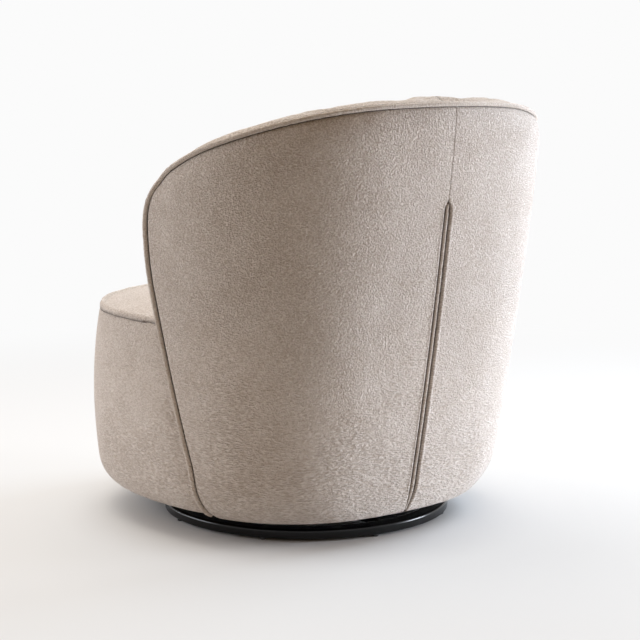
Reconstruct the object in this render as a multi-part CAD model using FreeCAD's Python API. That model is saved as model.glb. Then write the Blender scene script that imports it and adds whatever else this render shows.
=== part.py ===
import FreeCAD, Part
import math
import os
from collections import namedtuple

# Swivel tub armchair on a flat steel ring. Millimetres, +Z up, the sitter faces -Y and +X is the
# sitter's left. The origin is on the floor, on the swivel axis.

V = FreeCAD.Vector

# Ring base and its glides
glide_count = 8
glide_height = 4.5
glide_radius = 5.5
glide_edge_round = 1.2
glide_stem_radius = 1.5
glide_stem_length = 9.0
glide_turn = 10.5
glide_edge_margin = 1.0
ring_radius = 258.5
ring_width = 30.0
ring_height = 16.0
ring_edge_round = 5.0
bar_width = 44.0
bar_height = 11.0
bar_drop = 0.5

# Swivel bearing: two pressed plates, balls in a cage between them, and a centre pivot
plate_side = 190.0
plate_thickness = 3.0
plate_corner = 14.0
plate_gap = 14.0
race_radius = 60.0
race_width = 18.0
ball_radius = 4.0
ball_count = 20
ball_clearance = 0.05
cage_thickness = 1.6
cage_margin = 1.6
race_to_cage = 0.7
pivot_radius = 10.0
pivot_clearance = 0.08
pivot_flange = 6.0
pivot_flange_height = 2.0
pivot_end_play = 0.3
plate_bolt_radius = 4.0
plate_bolt_head_radius = 6.5
plate_bolt_head_height = 3.5
lower_bolt_circle = 82.0
lower_nut_height = 4.0
upper_bolt_spread = 80.0
upper_bolt_length = 22.0

# Board that everything above stands on, with the thin cloth under it
board_thickness = 18.0
dust_cover_thickness = 0.8
dust_cover_margin = 12.0
dust_cover_hole = 142.0

# Outer shell: its plan at the seat line, how full and how round the plan's corners are, and its
# flare above and below that line
shell_half_width = 371.1
shell_half_depth = 348.3
shell_fullness = 2.126
shell_corner = 0.775
shell_line_height = 400.0
side_flare = 0.0782
side_flare_ease = 6.33e-5
back_flare = 0.1561
back_flare_ease = 6.9e-5
hem_height = 39.0
side_hem_start = 113.0
side_hem_curve = 80.0
back_hem_start = 93.0
back_hem_curve = 125.0
rim_roll_start = 690.0
rim_roll_curve = 130.0
form_top = 790.0
section_step = 90.0
hem_section_step = 12.0

# Seat drum, the part of the body in front of the arms
drum_centre = -50.0
drum_half_width = 354.9
drum_widest_height = 325.0
drum_side_bulge = 2.5e-4
drum_front = 384.0
drum_front_height = 150.0
drum_front_bulge = 1.1e-3
drum_front_fullness = 1.4
drum_front_corner = 0.83
drum_back = 330.0
drum_back_fullness = 1.74
drum_back_corner = 0.7
drum_hem_height = 46.0
drum_side_hem_start = 98.0
drum_side_hem_curve = 62.0
drum_front_hem_start = 100.0
drum_front_hem_curve = 150.0

# Rim and arm front, seen from the side: corner points (depth, height) and their rounding
arm_foot_depth = 100.0
arm_knee_depth = 118.0
arm_knee_height = 110.0
arm_edge_depth = 55.0
arm_edge_height = 466.0
arm_top_height = 600.0
rim_bend_depth = 175.0
rim_bend_height = 659.0
rim_back_depth = 400.0
rim_back_height = 737.0
arm_knee_round = 250.0
arm_edge_round = 400.0
arm_top_round = 122.0
rim_bend_round = 700.0

# Layers of the shell, from the outside in
cover_thickness = 2.0
outer_wadding_thickness = 4.0
outer_board_thickness = 3.0
outer_board_drop = 14.0
rail_thickness = 18.0
webbing_thickness = 2.0
rail_height = 60.0
rail_drop = 14.0
bottom_rail_height = 42.0
post_width = 46.0
webbing_width = 50.0
webbing_margin = 24.0
welt_width = 8.0
welt_depth = 8.0
welt_stand = 1.0

# Padded inside of the tub
pad_thickness = 88.0
pad_crown = 13.0
pad_crest_inset = 42.0
pad_inner_round = 34.0
pad_seat_thickening = 8.0
pad_front_bulge = 15.0
inner_cover_thickness = 2.0

# Seat
seam_height = 376.0
seat_edge_height = 14.0
seat_crown = 11.0
seat_crown_radius = 4000.0
seat_edge_round = 9.0
seat_edge_swell = 2.5
seat_cover_thickness = 2.0
drum_foam_thickness = 27.5
front_panel_thickness = 6.0

# Seat box, springs and deck
box_half_width = 205.0
box_front = 236.0
box_back = 165.0
box_thickness = 18.0
box_height = 212.0
block_side = 70.0
block_drop = 30.0
block_height = 60.0
spring_count = 5
spring_spacing = 84.0
spring_wire = 3.8
spring_pitch = 26.0
spring_half_width = 24.0
clip_base = 1.2
clip_width = 16.0
clip_length = 15.0
felt_thickness = 6.0

# Zip in the back seam
zip_bottom = 84.0
zip_top = 580.0
zip_chain_width = 5.0
zip_chain_sink = 0.6
zip_tape_width = 28.0
zip_tape_thickness = 0.8
slider_width = 8.0
slider_length = 12.0
slider_depth = 3.0

# Fasteners in the frame
screw_radius = 2.0
screw_head_radius = 4.0
screw_head_height = 2.4
screw_length = 34.0

# Heights that follow from the stack
ring_top = glide_height + ring_height
bar_top = ring_top - bar_drop
bar_bottom = bar_top - bar_height
lower_plate_top = bar_top + plate_thickness
upper_plate_bottom = lower_plate_top + plate_gap
board_bottom = upper_plate_bottom + plate_thickness
board_top = board_bottom + board_thickness
box_top = board_top + box_height
spring_height = box_top + clip_base + spring_wire / 2
felt_bottom = spring_height + spring_wire / 2
deck_top = felt_bottom + felt_thickness

# Depths of the shell's layers, measured in from its outside
board_inset = cover_thickness + outer_wadding_thickness
rail_inset = board_inset + outer_board_thickness
webbing_inset = rail_inset + rail_thickness
pad_inset = webbing_inset + webbing_thickness

FAR = 1000.0

Plan = namedtuple(
    "Plan",
    "centre half_width back back_side_curve back_curve back_corner"
    " front front_side_curve front_curve front_corner",
)


def tub_plan(centre, half_width, back, back_shape, front, front_shape):
    """Plan of tangent arcs: flat sides and ends and round corners, as full as its shapes say."""

    def curves(depth, shape):
        fullness, corner = shape
        side_curve = fullness * depth**2 / half_width
        end_curve = fullness * half_width**2 / depth
        return depth, side_curve, end_curve, corner * math.sqrt(half_width * depth)

    return Plan(centre, half_width, *curves(back, back_shape), *curves(front, front_shape))


def grown(plan, by):
    """The parallel of a plan, further out by the given amount on every side."""
    return Plan(plan.centre, *(size + by for size in plan[1:]))


def drawn_in(past, curve):
    """How far a wall has drawn in at a distance past the start of its rounding."""
    drop = min(max(past, 0.0), 0.98 * curve)
    return curve - math.sqrt(curve**2 - drop**2)


def shell_plan(height):
    rise = height - shell_line_height
    side = side_flare * rise - side_flare_ease * rise**2
    side -= drawn_in(side_hem_start - height, side_hem_curve)
    back = back_flare * rise - back_flare_ease * rise**2
    back -= drawn_in(back_hem_start - height, back_hem_curve)
    roll = drawn_in(height - rim_roll_start, rim_roll_curve)
    depth = shell_half_depth + back - roll
    shape = shell_fullness, shell_corner
    return tub_plan(0.0, shell_half_width + side - roll, depth, shape, depth, shape)


def drum_plan(height):
    side = -drum_side_bulge * (height - drum_widest_height) ** 2
    side -= drawn_in(drum_side_hem_start - height, drum_side_hem_curve)
    front = -drum_front_bulge * (height - drum_front_height) ** 2
    front -= drawn_in(drum_front_hem_start - height, drum_front_hem_curve)
    return tub_plan(
        drum_centre,
        drum_half_width + side,
        drum_back - drum_centre + side,
        (drum_back_fullness, drum_back_corner),
        drum_front + drum_centre + front,
        (drum_front_fullness, drum_front_corner),
    )


def quarter_centres(half_width, end, side_curve, end_curve, corner):
    """Centres of a quarter's side, corner and end arcs, each touching the next from inside."""
    side_centre = V(half_width - side_curve, 0, 0)
    end_centre = V(0, end - end_curve, 0)
    near, far = side_curve - corner, end_curve - corner
    across = end_centre - side_centre
    gap = across.Length
    along = (near**2 - far**2 + gap**2) / (2 * gap)
    off = math.sqrt(max(near**2 - along**2, 0.0))
    unit = across / gap
    aside = V(-unit.y, unit.x, 0) * off
    middle = side_centre + unit * along
    corner_centre = max(middle + aside, middle - aside, key=lambda point: point.x + point.y)
    return side_centre, corner_centre, end_centre


def back_quarter(plan):
    return plan.half_width, plan.back, plan.back_side_curve, plan.back_curve, plan.back_corner


def front_quarter(plan):
    return plan.half_width, plan.front, plan.front_side_curve, plan.front_curve, plan.front_corner


def quarter_turns(side_centre, corner_centre, end_centre):
    """Directions from +Y towards +X in which the end arc and the side arc meet the corner arc."""
    to_end, to_side = corner_centre - end_centre, corner_centre - side_centre
    return math.atan2(to_end.x, to_end.y), math.atan2(to_side.x, to_side.y)


def facing(centre, radius, turn):
    return centre + V(math.sin(turn), math.cos(turn), 0) * radius


def quarter_arcs(half_width, end, side_curve, end_curve, corner):
    """Start, middle and end points of the three arcs from a plan's side to its end."""
    centres = quarter_centres(half_width, end, side_curve, end_curve, corner)
    end_turn, side_turn = quarter_turns(*centres)
    turns = [math.pi / 2, side_turn, end_turn, 0.0]
    for centre, radius, start, stop in zip(centres, (side_curve, corner, end_curve), turns, turns[1:]):
        yield [facing(centre, radius, turn) for turn in (start, (start + stop) / 2, stop)]


def plan_wire(plan, height):
    """Closed wire of a plan at a height, from its widest point on +X round by the back."""
    back = list(quarter_arcs(*back_quarter(plan)))
    front = list(quarter_arcs(*front_quarter(plan)))
    arcs = []
    for quarter, x_side, y_side in ((back, 1, 1), (back, -1, 1), (front, -1, -1), (front, 1, -1)):
        placed = [
            [V(point.x * x_side, plan.centre + point.y * y_side, height) for point in points]
            for points in quarter
        ]
        if x_side != y_side:
            placed = [points[::-1] for points in placed[::-1]]
        arcs += placed
    return Part.Wire([Part.Arc(*points).toShape() for points in arcs])


def form_heights(low, high):
    """Heights of a form's sections, closer together where the hem and the rim round."""
    hem_top = max(side_hem_start, back_hem_start, drum_side_hem_start, drum_front_hem_start)
    steps = [low]
    while steps[-1] < high - 1:
        rounding = steps[-1] < hem_top or steps[-1] + section_step > rim_roll_start
        step = hem_section_step if steps[-1] < 0.6 * hem_top else section_step / 3 if rounding else section_step
        steps.append(min(steps[-1] + step, high))
    return steps


forms = {}


def form(plan_at, inset, high):
    """Solid bounded by the parallel of a changing plan, kept so that layers share their faces."""
    key = (plan_at.__name__, inset)
    if key not in forms:
        heights = form_heights(hem_height - 6, high)
        wires = [plan_wire(grown(plan_at(height), -inset), height) for height in heights]
        forms[key] = Part.makeLoft(wires, True, False)
    return forms[key]


def shell_form(inset):
    return form(shell_plan, inset, form_top)


def drum_form(inset):
    return form(drum_plan, inset, seam_height + 30)


def slab(low, high):
    """Everything between two heights."""
    return Part.makeBox(2 * FAR, 2 * FAR, high - low, V(-FAR, -FAR, low))


def block(low, high):
    """Box from its lowest to its highest corner."""
    size = high - low
    return Part.makeBox(size.x, size.y, size.z, low)


def disc(radius, low, high, x=0.0, y=0.0):
    return Part.makeCylinder(radius, high - low, V(x, y, low))


def around(count, radius, turn=0.0):
    """Points on a circle, the turn measured from +Y towards +X."""
    for index in range(count):
        angle = math.radians(turn + index * 360 / count)
        yield radius * math.sin(angle), radius * math.cos(angle)


def side_outline(spread):
    """Points and roundings of the rim and arm front, seen from the side, moved out by a spread."""
    points = [
        (arm_foot_depth, 0.0),
        (arm_knee_depth, arm_knee_height),
        (arm_edge_depth, arm_edge_height),
        (arm_edge_depth, arm_top_height),
        (rim_bend_depth, rim_bend_height),
        (rim_back_depth, rim_back_height),
        (2 * rim_back_depth, 2 * rim_back_height - rim_bend_height),
    ]
    rounds = [0, arm_knee_round, arm_edge_round, arm_top_round, rim_bend_round, 0, 0]
    points = [V(0, depth, height) for depth, height in points]
    headings = [(b - a).normalize() for a, b in zip(points, points[1:])]
    normals = [V(0, -heading.z, heading.y) for heading in headings]
    outline = []
    for index, point in enumerate(points):
        before = normals[max(index - 1, 0)]
        after = normals[min(index, len(normals) - 1)]
        moved = point + (before + after) * (spread / (1 + before.dot(after)))
        bend = spread if before.cross(after).x < 0 else -spread
        radius = rounds[index] + bend if rounds[index] else 0
        outline.append((moved, radius))
    return outline


def rounded_path(outline):
    """Edges of a path through corner points, each corner rounded by its tangent arc."""
    edges = []
    start = outline[0][0]
    for (before, _), (corner, radius), (after, _) in zip(outline, outline[1:], outline[2:]):
        arrive = (corner - before).normalize()
        leave = (after - corner).normalize()
        turn = arrive.getAngle(leave)
        if radius and turn > 1e-6:
            reach = radius * math.tan(turn / 2)
            bow = radius * (1 / math.cos(turn / 2) - 1)
            inward = (leave - arrive).normalize()
            first, last = corner - arrive * reach, corner + leave * reach
            edges.append(Part.LineSegment(start, first).toShape())
            edges.append(Part.Arc(first, corner + inward * bow, last).toShape())
            start = last
        else:
            edges.append(Part.LineSegment(start, corner).toShape())
            start = corner
    edges.append(Part.LineSegment(start, outline[-1][0]).toShape())
    return edges


rims = {}


def behind_rim(spread):
    """Everything below the rim line and behind the arm fronts, moved out by a spread."""
    if spread not in rims:
        outline = side_outline(spread)
        edges = rounded_path(outline)
        end, start = outline[-1][0], outline[0][0]
        low = V(0, end.y, start.z)
        edges += [Part.LineSegment(end, low).toShape(), Part.LineSegment(low, start).toShape()]
        face = Part.Face(Part.Wire(edges))
        face.translate(V(-FAR, 0, 0))
        rims[spread] = face.extrude(V(2 * FAR, 0, 0))
    return rims[spread]


rim_curve = Part.Wire(rounded_path(side_outline(0)))
rim_points = rim_curve.discretize(Number=900)


def rim_height(depth):
    """Height of the rim line at a depth behind the swivel axis."""
    upper = [point for point in rim_points if point.z > arm_edge_height]
    for before, after in zip(upper, upper[1:]):
        if before.y <= depth <= after.y and after.y > before.y:
            share = (depth - before.y) / (after.y - before.y)
            return before.z + share * (after.z - before.z)
    return upper[0].z


def plan_point(plan, angle):
    """Point of a plan's back half whose outward direction makes an angle with +Y, and its normal."""
    centres = quarter_centres(*back_quarter(plan))
    end_turn, side_turn = quarter_turns(*centres)
    turn = math.radians(abs(angle))
    if turn <= end_turn:
        point = facing(centres[2], plan.back_curve, turn)
    elif turn >= side_turn:
        point = facing(centres[0], plan.back_side_curve, turn)
    else:
        point = facing(centres[1], plan.back_corner, turn)
    side = math.copysign(1, angle)
    return V(point.x * side, point.y, 0), V(math.sin(turn) * side, math.cos(turn), 0)


def rim_over(angle):
    """Height of the rim line where the shell, at that height, faces a direction."""
    height = shell_line_height
    for _ in range(5):
        point, _ = plan_point(shell_plan(height), angle)
        height = rim_height(max(point.y, arm_edge_depth + pad_front_bulge))
    return height


def pad_section(angle, skin):
    """Upright section through the padded inside at one place round the tub."""

    def at(inset, height):
        point, normal = plan_point(shell_plan(height), angle)
        return V(point.x, point.y, height) - normal * inset

    top = rim_over(angle)
    crest = top + pad_crown - skin
    thickness = pad_thickness - skin
    inner_top = crest - pad_inner_round
    shoulder = pad_inner_round * (1 - math.sqrt(0.5))
    outer_top = at(-welt_depth, top - pad_crown)
    crest_point = at(pad_crest_inset, crest)
    inner_point = at(thickness, inner_top)
    outer_bottom = at(-welt_depth, deck_top)
    inner_bottom = at(thickness + pad_seat_thickening, deck_top)
    flat = (outer_top + crest_point) * 0.5 + V(0, 0, pad_crown / 3)
    edges = [
        Part.LineSegment(outer_bottom, outer_top).toShape(),
        Part.Arc(outer_top, flat, crest_point).toShape(),
        Part.Arc(crest_point, at(thickness - shoulder, crest - shoulder), inner_point).toShape(),
        Part.LineSegment(inner_point, inner_bottom).toShape(),
        Part.LineSegment(inner_bottom, outer_bottom).toShape(),
    ]
    return Part.Wire(edges)


def pad_form(skin):
    """Rough form of the padded inside: a loft of sections from one arm round the back to the other."""
    half = [12.0, 24.0, 36.0, 48.0, 60.0, 70.0, 77.0, 81.5, 84.5, 88.0]
    angles = [-angle for angle in reversed(half)] + [0.0] + half
    return Part.makeLoft([pad_section(angle, skin) for angle in angles], True, False)


def strip(angle, width, low, high):
    """Upright column through the shell at one place round the tub."""
    point, normal = plan_point(shell_plan(shell_line_height), angle)
    column = Part.makeBox(width, 3 * pad_thickness, high - low, V(-width / 2, -1.5 * pad_thickness, low))
    column.rotate(V(0, 0, 0), V(0, 0, 1), -math.degrees(math.atan2(normal.x, normal.y)))
    column.translate(V(point.x, point.y, 0))
    return column


def group(shapes):
    """One shape for a node: its solid, or its several separate solids together."""
    solids = [solid for shape in shapes for solid in shape.Solids]
    return solids[0] if len(solids) == 1 else Part.makeCompound(solids)


def half(shape, side):
    """The part of a shape on one side of the middle, +1 for the sitter's left."""
    low = V(0 if side > 0 else -FAR, -FAR, -FAR)
    return shape.common(block(low, low + V(FAR, 2 * FAR, 2 * FAR)))


os.makedirs("parts", exist_ok=True)


def save(name, *shapes):
    shape = group(shapes)
    shape.exportStep(f"parts/{name}.step")
    print(f"{name}: {len(shape.Solids)} solid, {shape.Volume / 1000:.1f} cm3, valid {shape.isValid()}")
    return shape


def base_ring():
    inner = ring_radius - ring_width
    ring = disc(ring_radius, glide_height, ring_top).cut(disc(inner, glide_height, ring_top))
    top_edges = [edge for edge in ring.Edges if edge.BoundBox.ZMin > ring_top - 0.1]
    ring = ring.makeFillet(ring_edge_round, top_edges)
    for x, y in around(glide_count, glide_circle, glide_turn):
        ring = ring.cut(disc(glide_stem_radius, glide_height, glide_height + glide_stem_length, x, y))
    return ring


def glides():
    for x, y in around(glide_count, glide_circle, glide_turn):
        pad = disc(glide_radius, 0, glide_height, x, y)
        pad = pad.makeChamfer(glide_edge_round, [e for e in pad.Edges if e.BoundBox.ZMax < 0.1])
        stem = disc(glide_stem_radius, glide_height - 1, glide_height + glide_stem_length, x, y)
        yield pad.fuse(stem)


def cross_bars():
    """The bar that runs right across, and the two halves welded against it."""
    reach = disc(ring_radius - ring_width, bar_bottom, bar_top)
    low, high = V(-FAR, -bar_width / 2, bar_bottom), V(FAR, bar_width / 2, bar_top)
    across = block(low, high).common(reach)
    along = block(V(low.y, low.x, low.z), V(high.y, high.x, high.z)).common(reach).cut(across)
    bolts = [disc(plate_bolt_radius, bar_bottom, bar_top, x, y) for x, y in around(4, lower_bolt_circle)]
    for bolt in bolts:
        across, along = across.cut(bolt), along.cut(bolt)
    return across, along


def square_plate(low):
    half_side = plate_side / 2
    plate = block(V(-half_side, -half_side, low), V(half_side, half_side, low + plate_thickness))
    upright = [edge for edge in plate.Edges if edge.BoundBox.ZLength > plate_thickness / 2]
    return plate.makeFillet(plate_corner, upright)


ball_height = lower_plate_top + plate_gap / 2
ball_track = Part.makeTorus(race_radius, ball_radius + ball_clearance, V(0, 0, ball_height))
cage_low = ball_height - cage_thickness / 2
cage_high = ball_height + cage_thickness / 2


def race(low, high):
    outer, inner = race_radius + race_width / 2, race_radius - race_width / 2
    return disc(outer, low, high).cut(disc(inner, low, high))


def lower_swivel_plate():
    plate = square_plate(bar_top).fuse(race(lower_plate_top - 1, cage_low - race_to_cage))
    plate = plate.cut(ball_track).cut(disc(pivot_radius, bar_top, lower_plate_top))
    for x, y in around(4, lower_bolt_circle):
        plate = plate.cut(disc(plate_bolt_radius, bar_top, lower_plate_top, x, y))
    return plate


def upper_bolt_places():
    for x in (-upper_bolt_spread, upper_bolt_spread):
        for y in (-upper_bolt_spread, upper_bolt_spread):
            yield x, y


def upper_swivel_plate():
    plate = square_plate(upper_plate_bottom).fuse(race(cage_high + race_to_cage, upper_plate_bottom + 1))
    hole = disc(pivot_radius + pivot_clearance, upper_plate_bottom, board_bottom)
    plate = plate.cut(ball_track).cut(hole)
    for x, y in upper_bolt_places():
        plate = plate.cut(disc(plate_bolt_radius, upper_plate_bottom, board_bottom, x, y))
    return plate


def bearing_cage():
    inner = race_radius - race_width / 2 + cage_margin
    outer = race_radius + race_width / 2 - cage_margin
    cage = disc(outer, cage_low, cage_high).cut(disc(inner, cage_low, cage_high))
    for ball in bearing_balls(ball_radius + ball_clearance):
        cage = cage.cut(ball)
    return cage


def bearing_balls(radius):
    return [
        Part.makeSphere(radius, V(x, y, ball_height)) for x, y in around(ball_count, race_radius)
    ]


pivot_head_low = board_bottom + pivot_end_play
pivot_head_high = pivot_head_low + pivot_flange_height


def swivel_pivot():
    flange = pivot_radius + pivot_flange
    pivot = disc(pivot_radius, bar_top, pivot_head_high)
    pivot = pivot.fuse(disc(flange, lower_plate_top, lower_plate_top + pivot_flange_height))
    return pivot.fuse(disc(flange, pivot_head_low, pivot_head_high))


def lower_plate_bolts():
    for x, y in around(4, lower_bolt_circle):
        shank = disc(plate_bolt_radius, bar_bottom - lower_nut_height, lower_plate_top, x, y)
        head_top = lower_plate_top + plate_bolt_head_height
        yield shank.fuse(disc(plate_bolt_head_radius, lower_plate_top, head_top, x, y))


def hexagon(across_flats, low, high, x, y):
    radius = across_flats / math.sqrt(3)
    corners = [V(x + dx, y + dy, low) for dx, dy in around(6, radius)]
    return Part.Face(Part.makePolygon(corners + corners[:1])).extrude(V(0, 0, high - low))


def lower_plate_nuts():
    for x, y in around(4, lower_bolt_circle):
        nut = hexagon(2 * plate_bolt_head_radius, bar_bottom - lower_nut_height, bar_bottom, x, y)
        yield nut.cut(disc(plate_bolt_radius, bar_bottom - lower_nut_height, bar_bottom, x, y))


def upper_plate_bolts():
    for x, y in upper_bolt_places():
        head_bottom = upper_plate_bottom - plate_bolt_head_height
        shank = disc(plate_bolt_radius, upper_plate_bottom, head_bottom + upper_bolt_length, x, y)
        yield shank.fuse(disc(plate_bolt_head_radius, head_bottom, upper_plate_bottom, x, y))


def foot_slab(margin, low, high):
    """Flat piece that follows the foot of the shell and of the drum, drawn in by a margin."""
    back = shell_form(rail_inset + margin).common(behind_rim(0)).common(slab(low, high))
    front = drum_form(cover_thickness + drum_foam_thickness + margin).common(slab(low, high))
    return back.fuse(front.cut(behind_rim(0))).removeSplitter()


def base_board():
    """Plywood board with room for the head of the pivot and holes for the plate's bolts."""
    board = foot_slab(0, board_bottom, board_top)
    head = pivot_radius + pivot_flange + 2
    board = board.cut(disc(head, board_bottom, pivot_head_high + 1))
    for bolt in upper_plate_bolts():
        board = board.cut(bolt)
    return board


def dust_cover():
    low = board_bottom - dust_cover_thickness
    cloth = foot_slab(dust_cover_margin, low, board_bottom)
    return cloth.cut(disc(dust_cover_hole, low, board_bottom))


def shell_layer(outer, inner):
    """One layer of the shell between two depths, closed all round and full height."""
    return shell_form(outer).cut(shell_form(inner))


def trimmed(layer, low, spread=0.0):
    """A shell layer cut to the rim and arm fronts, from a height upwards."""
    return layer.common(behind_rim(spread)).common(slab(low, form_top))


def zip_zone(width, low, high):
    return block(V(-width / 2, 0, low), V(width / 2, FAR, high))


def outer_cover():
    cover = trimmed(shell_layer(0, cover_thickness), hem_height)
    return cover.cut(zip_zone(zip_chain_width, zip_bottom, zip_top))


def outer_wadding():
    wadding = trimmed(shell_layer(cover_thickness, board_inset), board_bottom)
    tape = shell_form(cover_thickness).cut(shell_form(cover_thickness + zip_tape_thickness))
    wadding = wadding.cut(tape.common(zip_zone(zip_tape_width, zip_bottom, zip_top)))
    slider = zip_slider()
    return wadding.cut(slider)


def zip_slider():
    layer = shell_layer(cover_thickness + zip_tape_thickness, cover_thickness + zip_tape_thickness + slider_depth)
    return layer.common(zip_zone(slider_width, zip_bottom, zip_bottom + slider_length))


def frame_layer():
    return trimmed(shell_layer(rail_inset, webbing_inset), board_top)


def rim_band(layer):
    """The stretch of the frame that follows the rim and both arm fronts."""
    return layer.common(behind_rim(-rail_drop)).cut(behind_rim(-rail_drop - rail_height))


def welt():
    """Piping that lies along the rim and down both arm fronts, outside the layers' edges."""
    ring = shell_layer(-welt_stand, welt_depth).common(slab(hem_height, form_top))
    return ring.common(behind_rim(welt_width)).cut(behind_rim(0))


def pad_zone(front_spread):
    """Space of the padded inside: within the webbing, and over the top of the frame."""
    over = shell_form(rail_inset).cut(behind_rim(-rail_drop))
    reach = behind_rim(front_spread).translated(V(0, 0, pad_crown))
    zone = shell_form(pad_inset).fuse(over).common(reach)
    below_seam = slab(hem_height, seam_height).cut(behind_rim(0))
    return zone.cut(below_seam)


def seat_dome(skin):
    """Top of the seat: an upright edge that swells a little, and a shallow crown."""
    plan = grown(drum_plan(seam_height), seat_edge_swell - skin)
    top = seam_height + seat_edge_height + seat_crown - skin
    prism = Part.Face(plan_wire(plan, seam_height)).extrude(V(0, 0, top - seam_height + 1))
    ball = Part.makeSphere(seat_crown_radius, V(0, drum_centre, top - seat_crown_radius))
    dome = prism.common(ball)
    upper = [edge for edge in dome.Edges if edge.BoundBox.ZMin > seam_height + 2]
    return dome.makeFillet(seat_edge_round - skin, upper)


def seat_box():
    """Four boards on edge that carry the springs, the side boards between the ends."""
    outer = block(V(-box_half_width, -box_front, board_top), V(box_half_width, box_back, box_top))
    inner_x = box_half_width - box_thickness
    front = outer.common(block(V(-FAR, -FAR, 0), V(FAR, box_thickness - box_front, FAR)))
    back = outer.common(block(V(-FAR, box_back - box_thickness, 0), V(FAR, FAR, FAR)))
    rest = outer.cut(front).cut(back)
    left = rest.common(block(V(inner_x, -FAR, 0), V(FAR, FAR, FAR)))
    right = rest.common(block(V(-FAR, -FAR, 0), V(-inner_x, FAR, FAR)))
    return front, back, left, right


def corner_blocks():
    low, high = box_top - block_drop - block_height, box_top - block_drop
    for x_side in (-1, 1):
        for y_side, y in ((-1, -box_front + box_thickness), (1, box_back - box_thickness)):
            corner = V(x_side * (box_half_width - box_thickness), y, low)
            points = [corner, corner - V(x_side * block_side, 0, 0), corner - V(0, y_side * block_side, 0)]
            yield Part.Face(Part.makePolygon(points + points[:1])).extrude(V(0, 0, high - low))


def spring_places():
    for index in range(spring_count):
        yield (index - (spring_count - 1) / 2) * spring_spacing


def sinuous_spring(x):
    """Zigzag spring of one unbroken wire, front to back: half-turn bends joined by straight runs."""
    bend = spring_pitch / 2
    run = spring_half_width - bend
    front = -box_front + box_thickness / 2
    back = box_back - box_thickness / 2
    bends = int((back - front) / spring_pitch)
    start = (front + back) / 2 - bends * spring_pitch / 2
    edges = [Part.LineSegment(V(x - run, start, spring_height), V(x + run, start, spring_height)).toShape()]
    side, y = 1, start
    for index in range(bends):
        near, far = V(x + side * run, y, spring_height), V(x + side * run, y + spring_pitch, spring_height)
        tip = V(x + side * (run + bend), y + bend, spring_height)
        edges.append(Part.Arc(near, tip, far).toShape())
        y += spring_pitch
        side = -side
        edges.append(Part.LineSegment(far, V(x + side * run, y, spring_height)).toShape())
    path = Part.Wire(edges)
    circle = Part.Circle(V(x - run, start, spring_height), V(1, 0, 0), spring_wire / 2)
    return path.makePipeShell([Part.Wire(circle.toShape())], True, False)


def spring_clips():
    """Folded steel clips that hold the spring ends down on the front and back boards."""
    top = spring_height + spring_wire / 2
    wires = Part.makeCompound(list(springs))
    for x in spring_places():
        for y in (-box_front + box_thickness / 2, box_back - box_thickness / 2):
            low = V(x - clip_width / 2, y - clip_length / 2, box_top)
            clip = block(low, V(x + clip_width / 2, y + clip_length / 2, top))
            yield clip.cut(wires)


def spring_felt():
    return block(V(-box_half_width, -box_front, felt_bottom), V(box_half_width, box_back, deck_top))


def within_tub(shape):
    """What is left of a seat piece between the padded insides and in front of the arms."""
    return shape.cut(tub_wall).cut(pad)


def seat_foam():
    inset = drum_foam_thickness + cover_thickness
    return within_tub(drum_form(inset).common(slab(deck_top, seam_height)))


def front_layer(outer, inner, low, high):
    """One layer of the drum in front of the arm welts."""
    layer = drum_form(outer).cut(drum_form(inner)).common(slab(low, high))
    return layer.cut(behind_rim(welt_width))


def screw(place, direction):
    """Countersunk wood screw driven in at a place, head flush with the face."""
    shank = Part.makeCylinder(screw_radius, screw_length, place, direction)
    head = Part.makeCone(screw_head_radius, screw_radius, screw_head_height, place, direction)
    return shank.fuse(head)


def box_screws():
    for x in (-1, 1):
        for level in (0.2, 0.8):
            z = board_top + level * box_height
            side = x * (box_half_width - box_thickness / 2)
            yield screw(V(side, -box_front, z), V(0, 1, 0))
            yield screw(V(side, box_back, z), V(0, -1, 0))


def board_screws():
    for x in (-0.5, 0.5):
        for y in (-box_front + box_thickness / 2, box_back - box_thickness / 2):
            yield screw(V(x * box_half_width, y, board_bottom), V(0, 0, 1))


glide_circle = ring_radius - glide_radius - glide_edge_margin

save("base_ring", base_ring())
save("glides", *glides())
bar_across, bar_along = cross_bars()
save("cross_bar", bar_across)
save("cross_bar_halves", bar_along)
save("lower_swivel_plate", lower_swivel_plate())
save("upper_swivel_plate", upper_swivel_plate())
save("bearing_cage", bearing_cage())
save("bearing_balls", *bearing_balls(ball_radius))
save("swivel_pivot", swivel_pivot())
save("lower_plate_bolts", *lower_plate_bolts())
save("lower_plate_nuts", *lower_plate_nuts())
save("upper_plate_bolts", *upper_plate_bolts())

screws = list(board_screws())
board = base_board()
for part in screws:
    board = board.cut(part)
save("base_board", board)
save("dust_cover", dust_cover())

joints = list(box_screws())
for name, panel in zip(("front", "back", "left", "right"), seat_box()):
    for part in screws + joints:
        panel = panel.cut(part)
    save(f"seat_box_{name}", panel)
save("board_screws", *screws)
save("box_screws", *joints)
save("corner_blocks", *corner_blocks())

springs = [sinuous_spring(x) for x in spring_places()]
save("seat_springs", *springs)
save("spring_clips", *spring_clips())
save("spring_felt", spring_felt())

cover = outer_cover()
save("outer_cover_left", half(cover, 1))
save("outer_cover_right", half(cover, -1))
save("outer_wadding", outer_wadding())
save("outer_board", trimmed(shell_layer(board_inset, rail_inset), board_bottom, -outer_board_drop))
save("welt", welt())

tape = shell_layer(cover_thickness, cover_thickness + zip_tape_thickness)
tape = tape.common(zip_zone(zip_tape_width, zip_bottom, zip_top))
save("zip_tape", tape)
chain = shell_layer(zip_chain_sink, cover_thickness)
save("zip_chain", chain.common(zip_zone(zip_chain_width, zip_bottom, zip_top)))
save("zip_slider", zip_slider())

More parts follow.
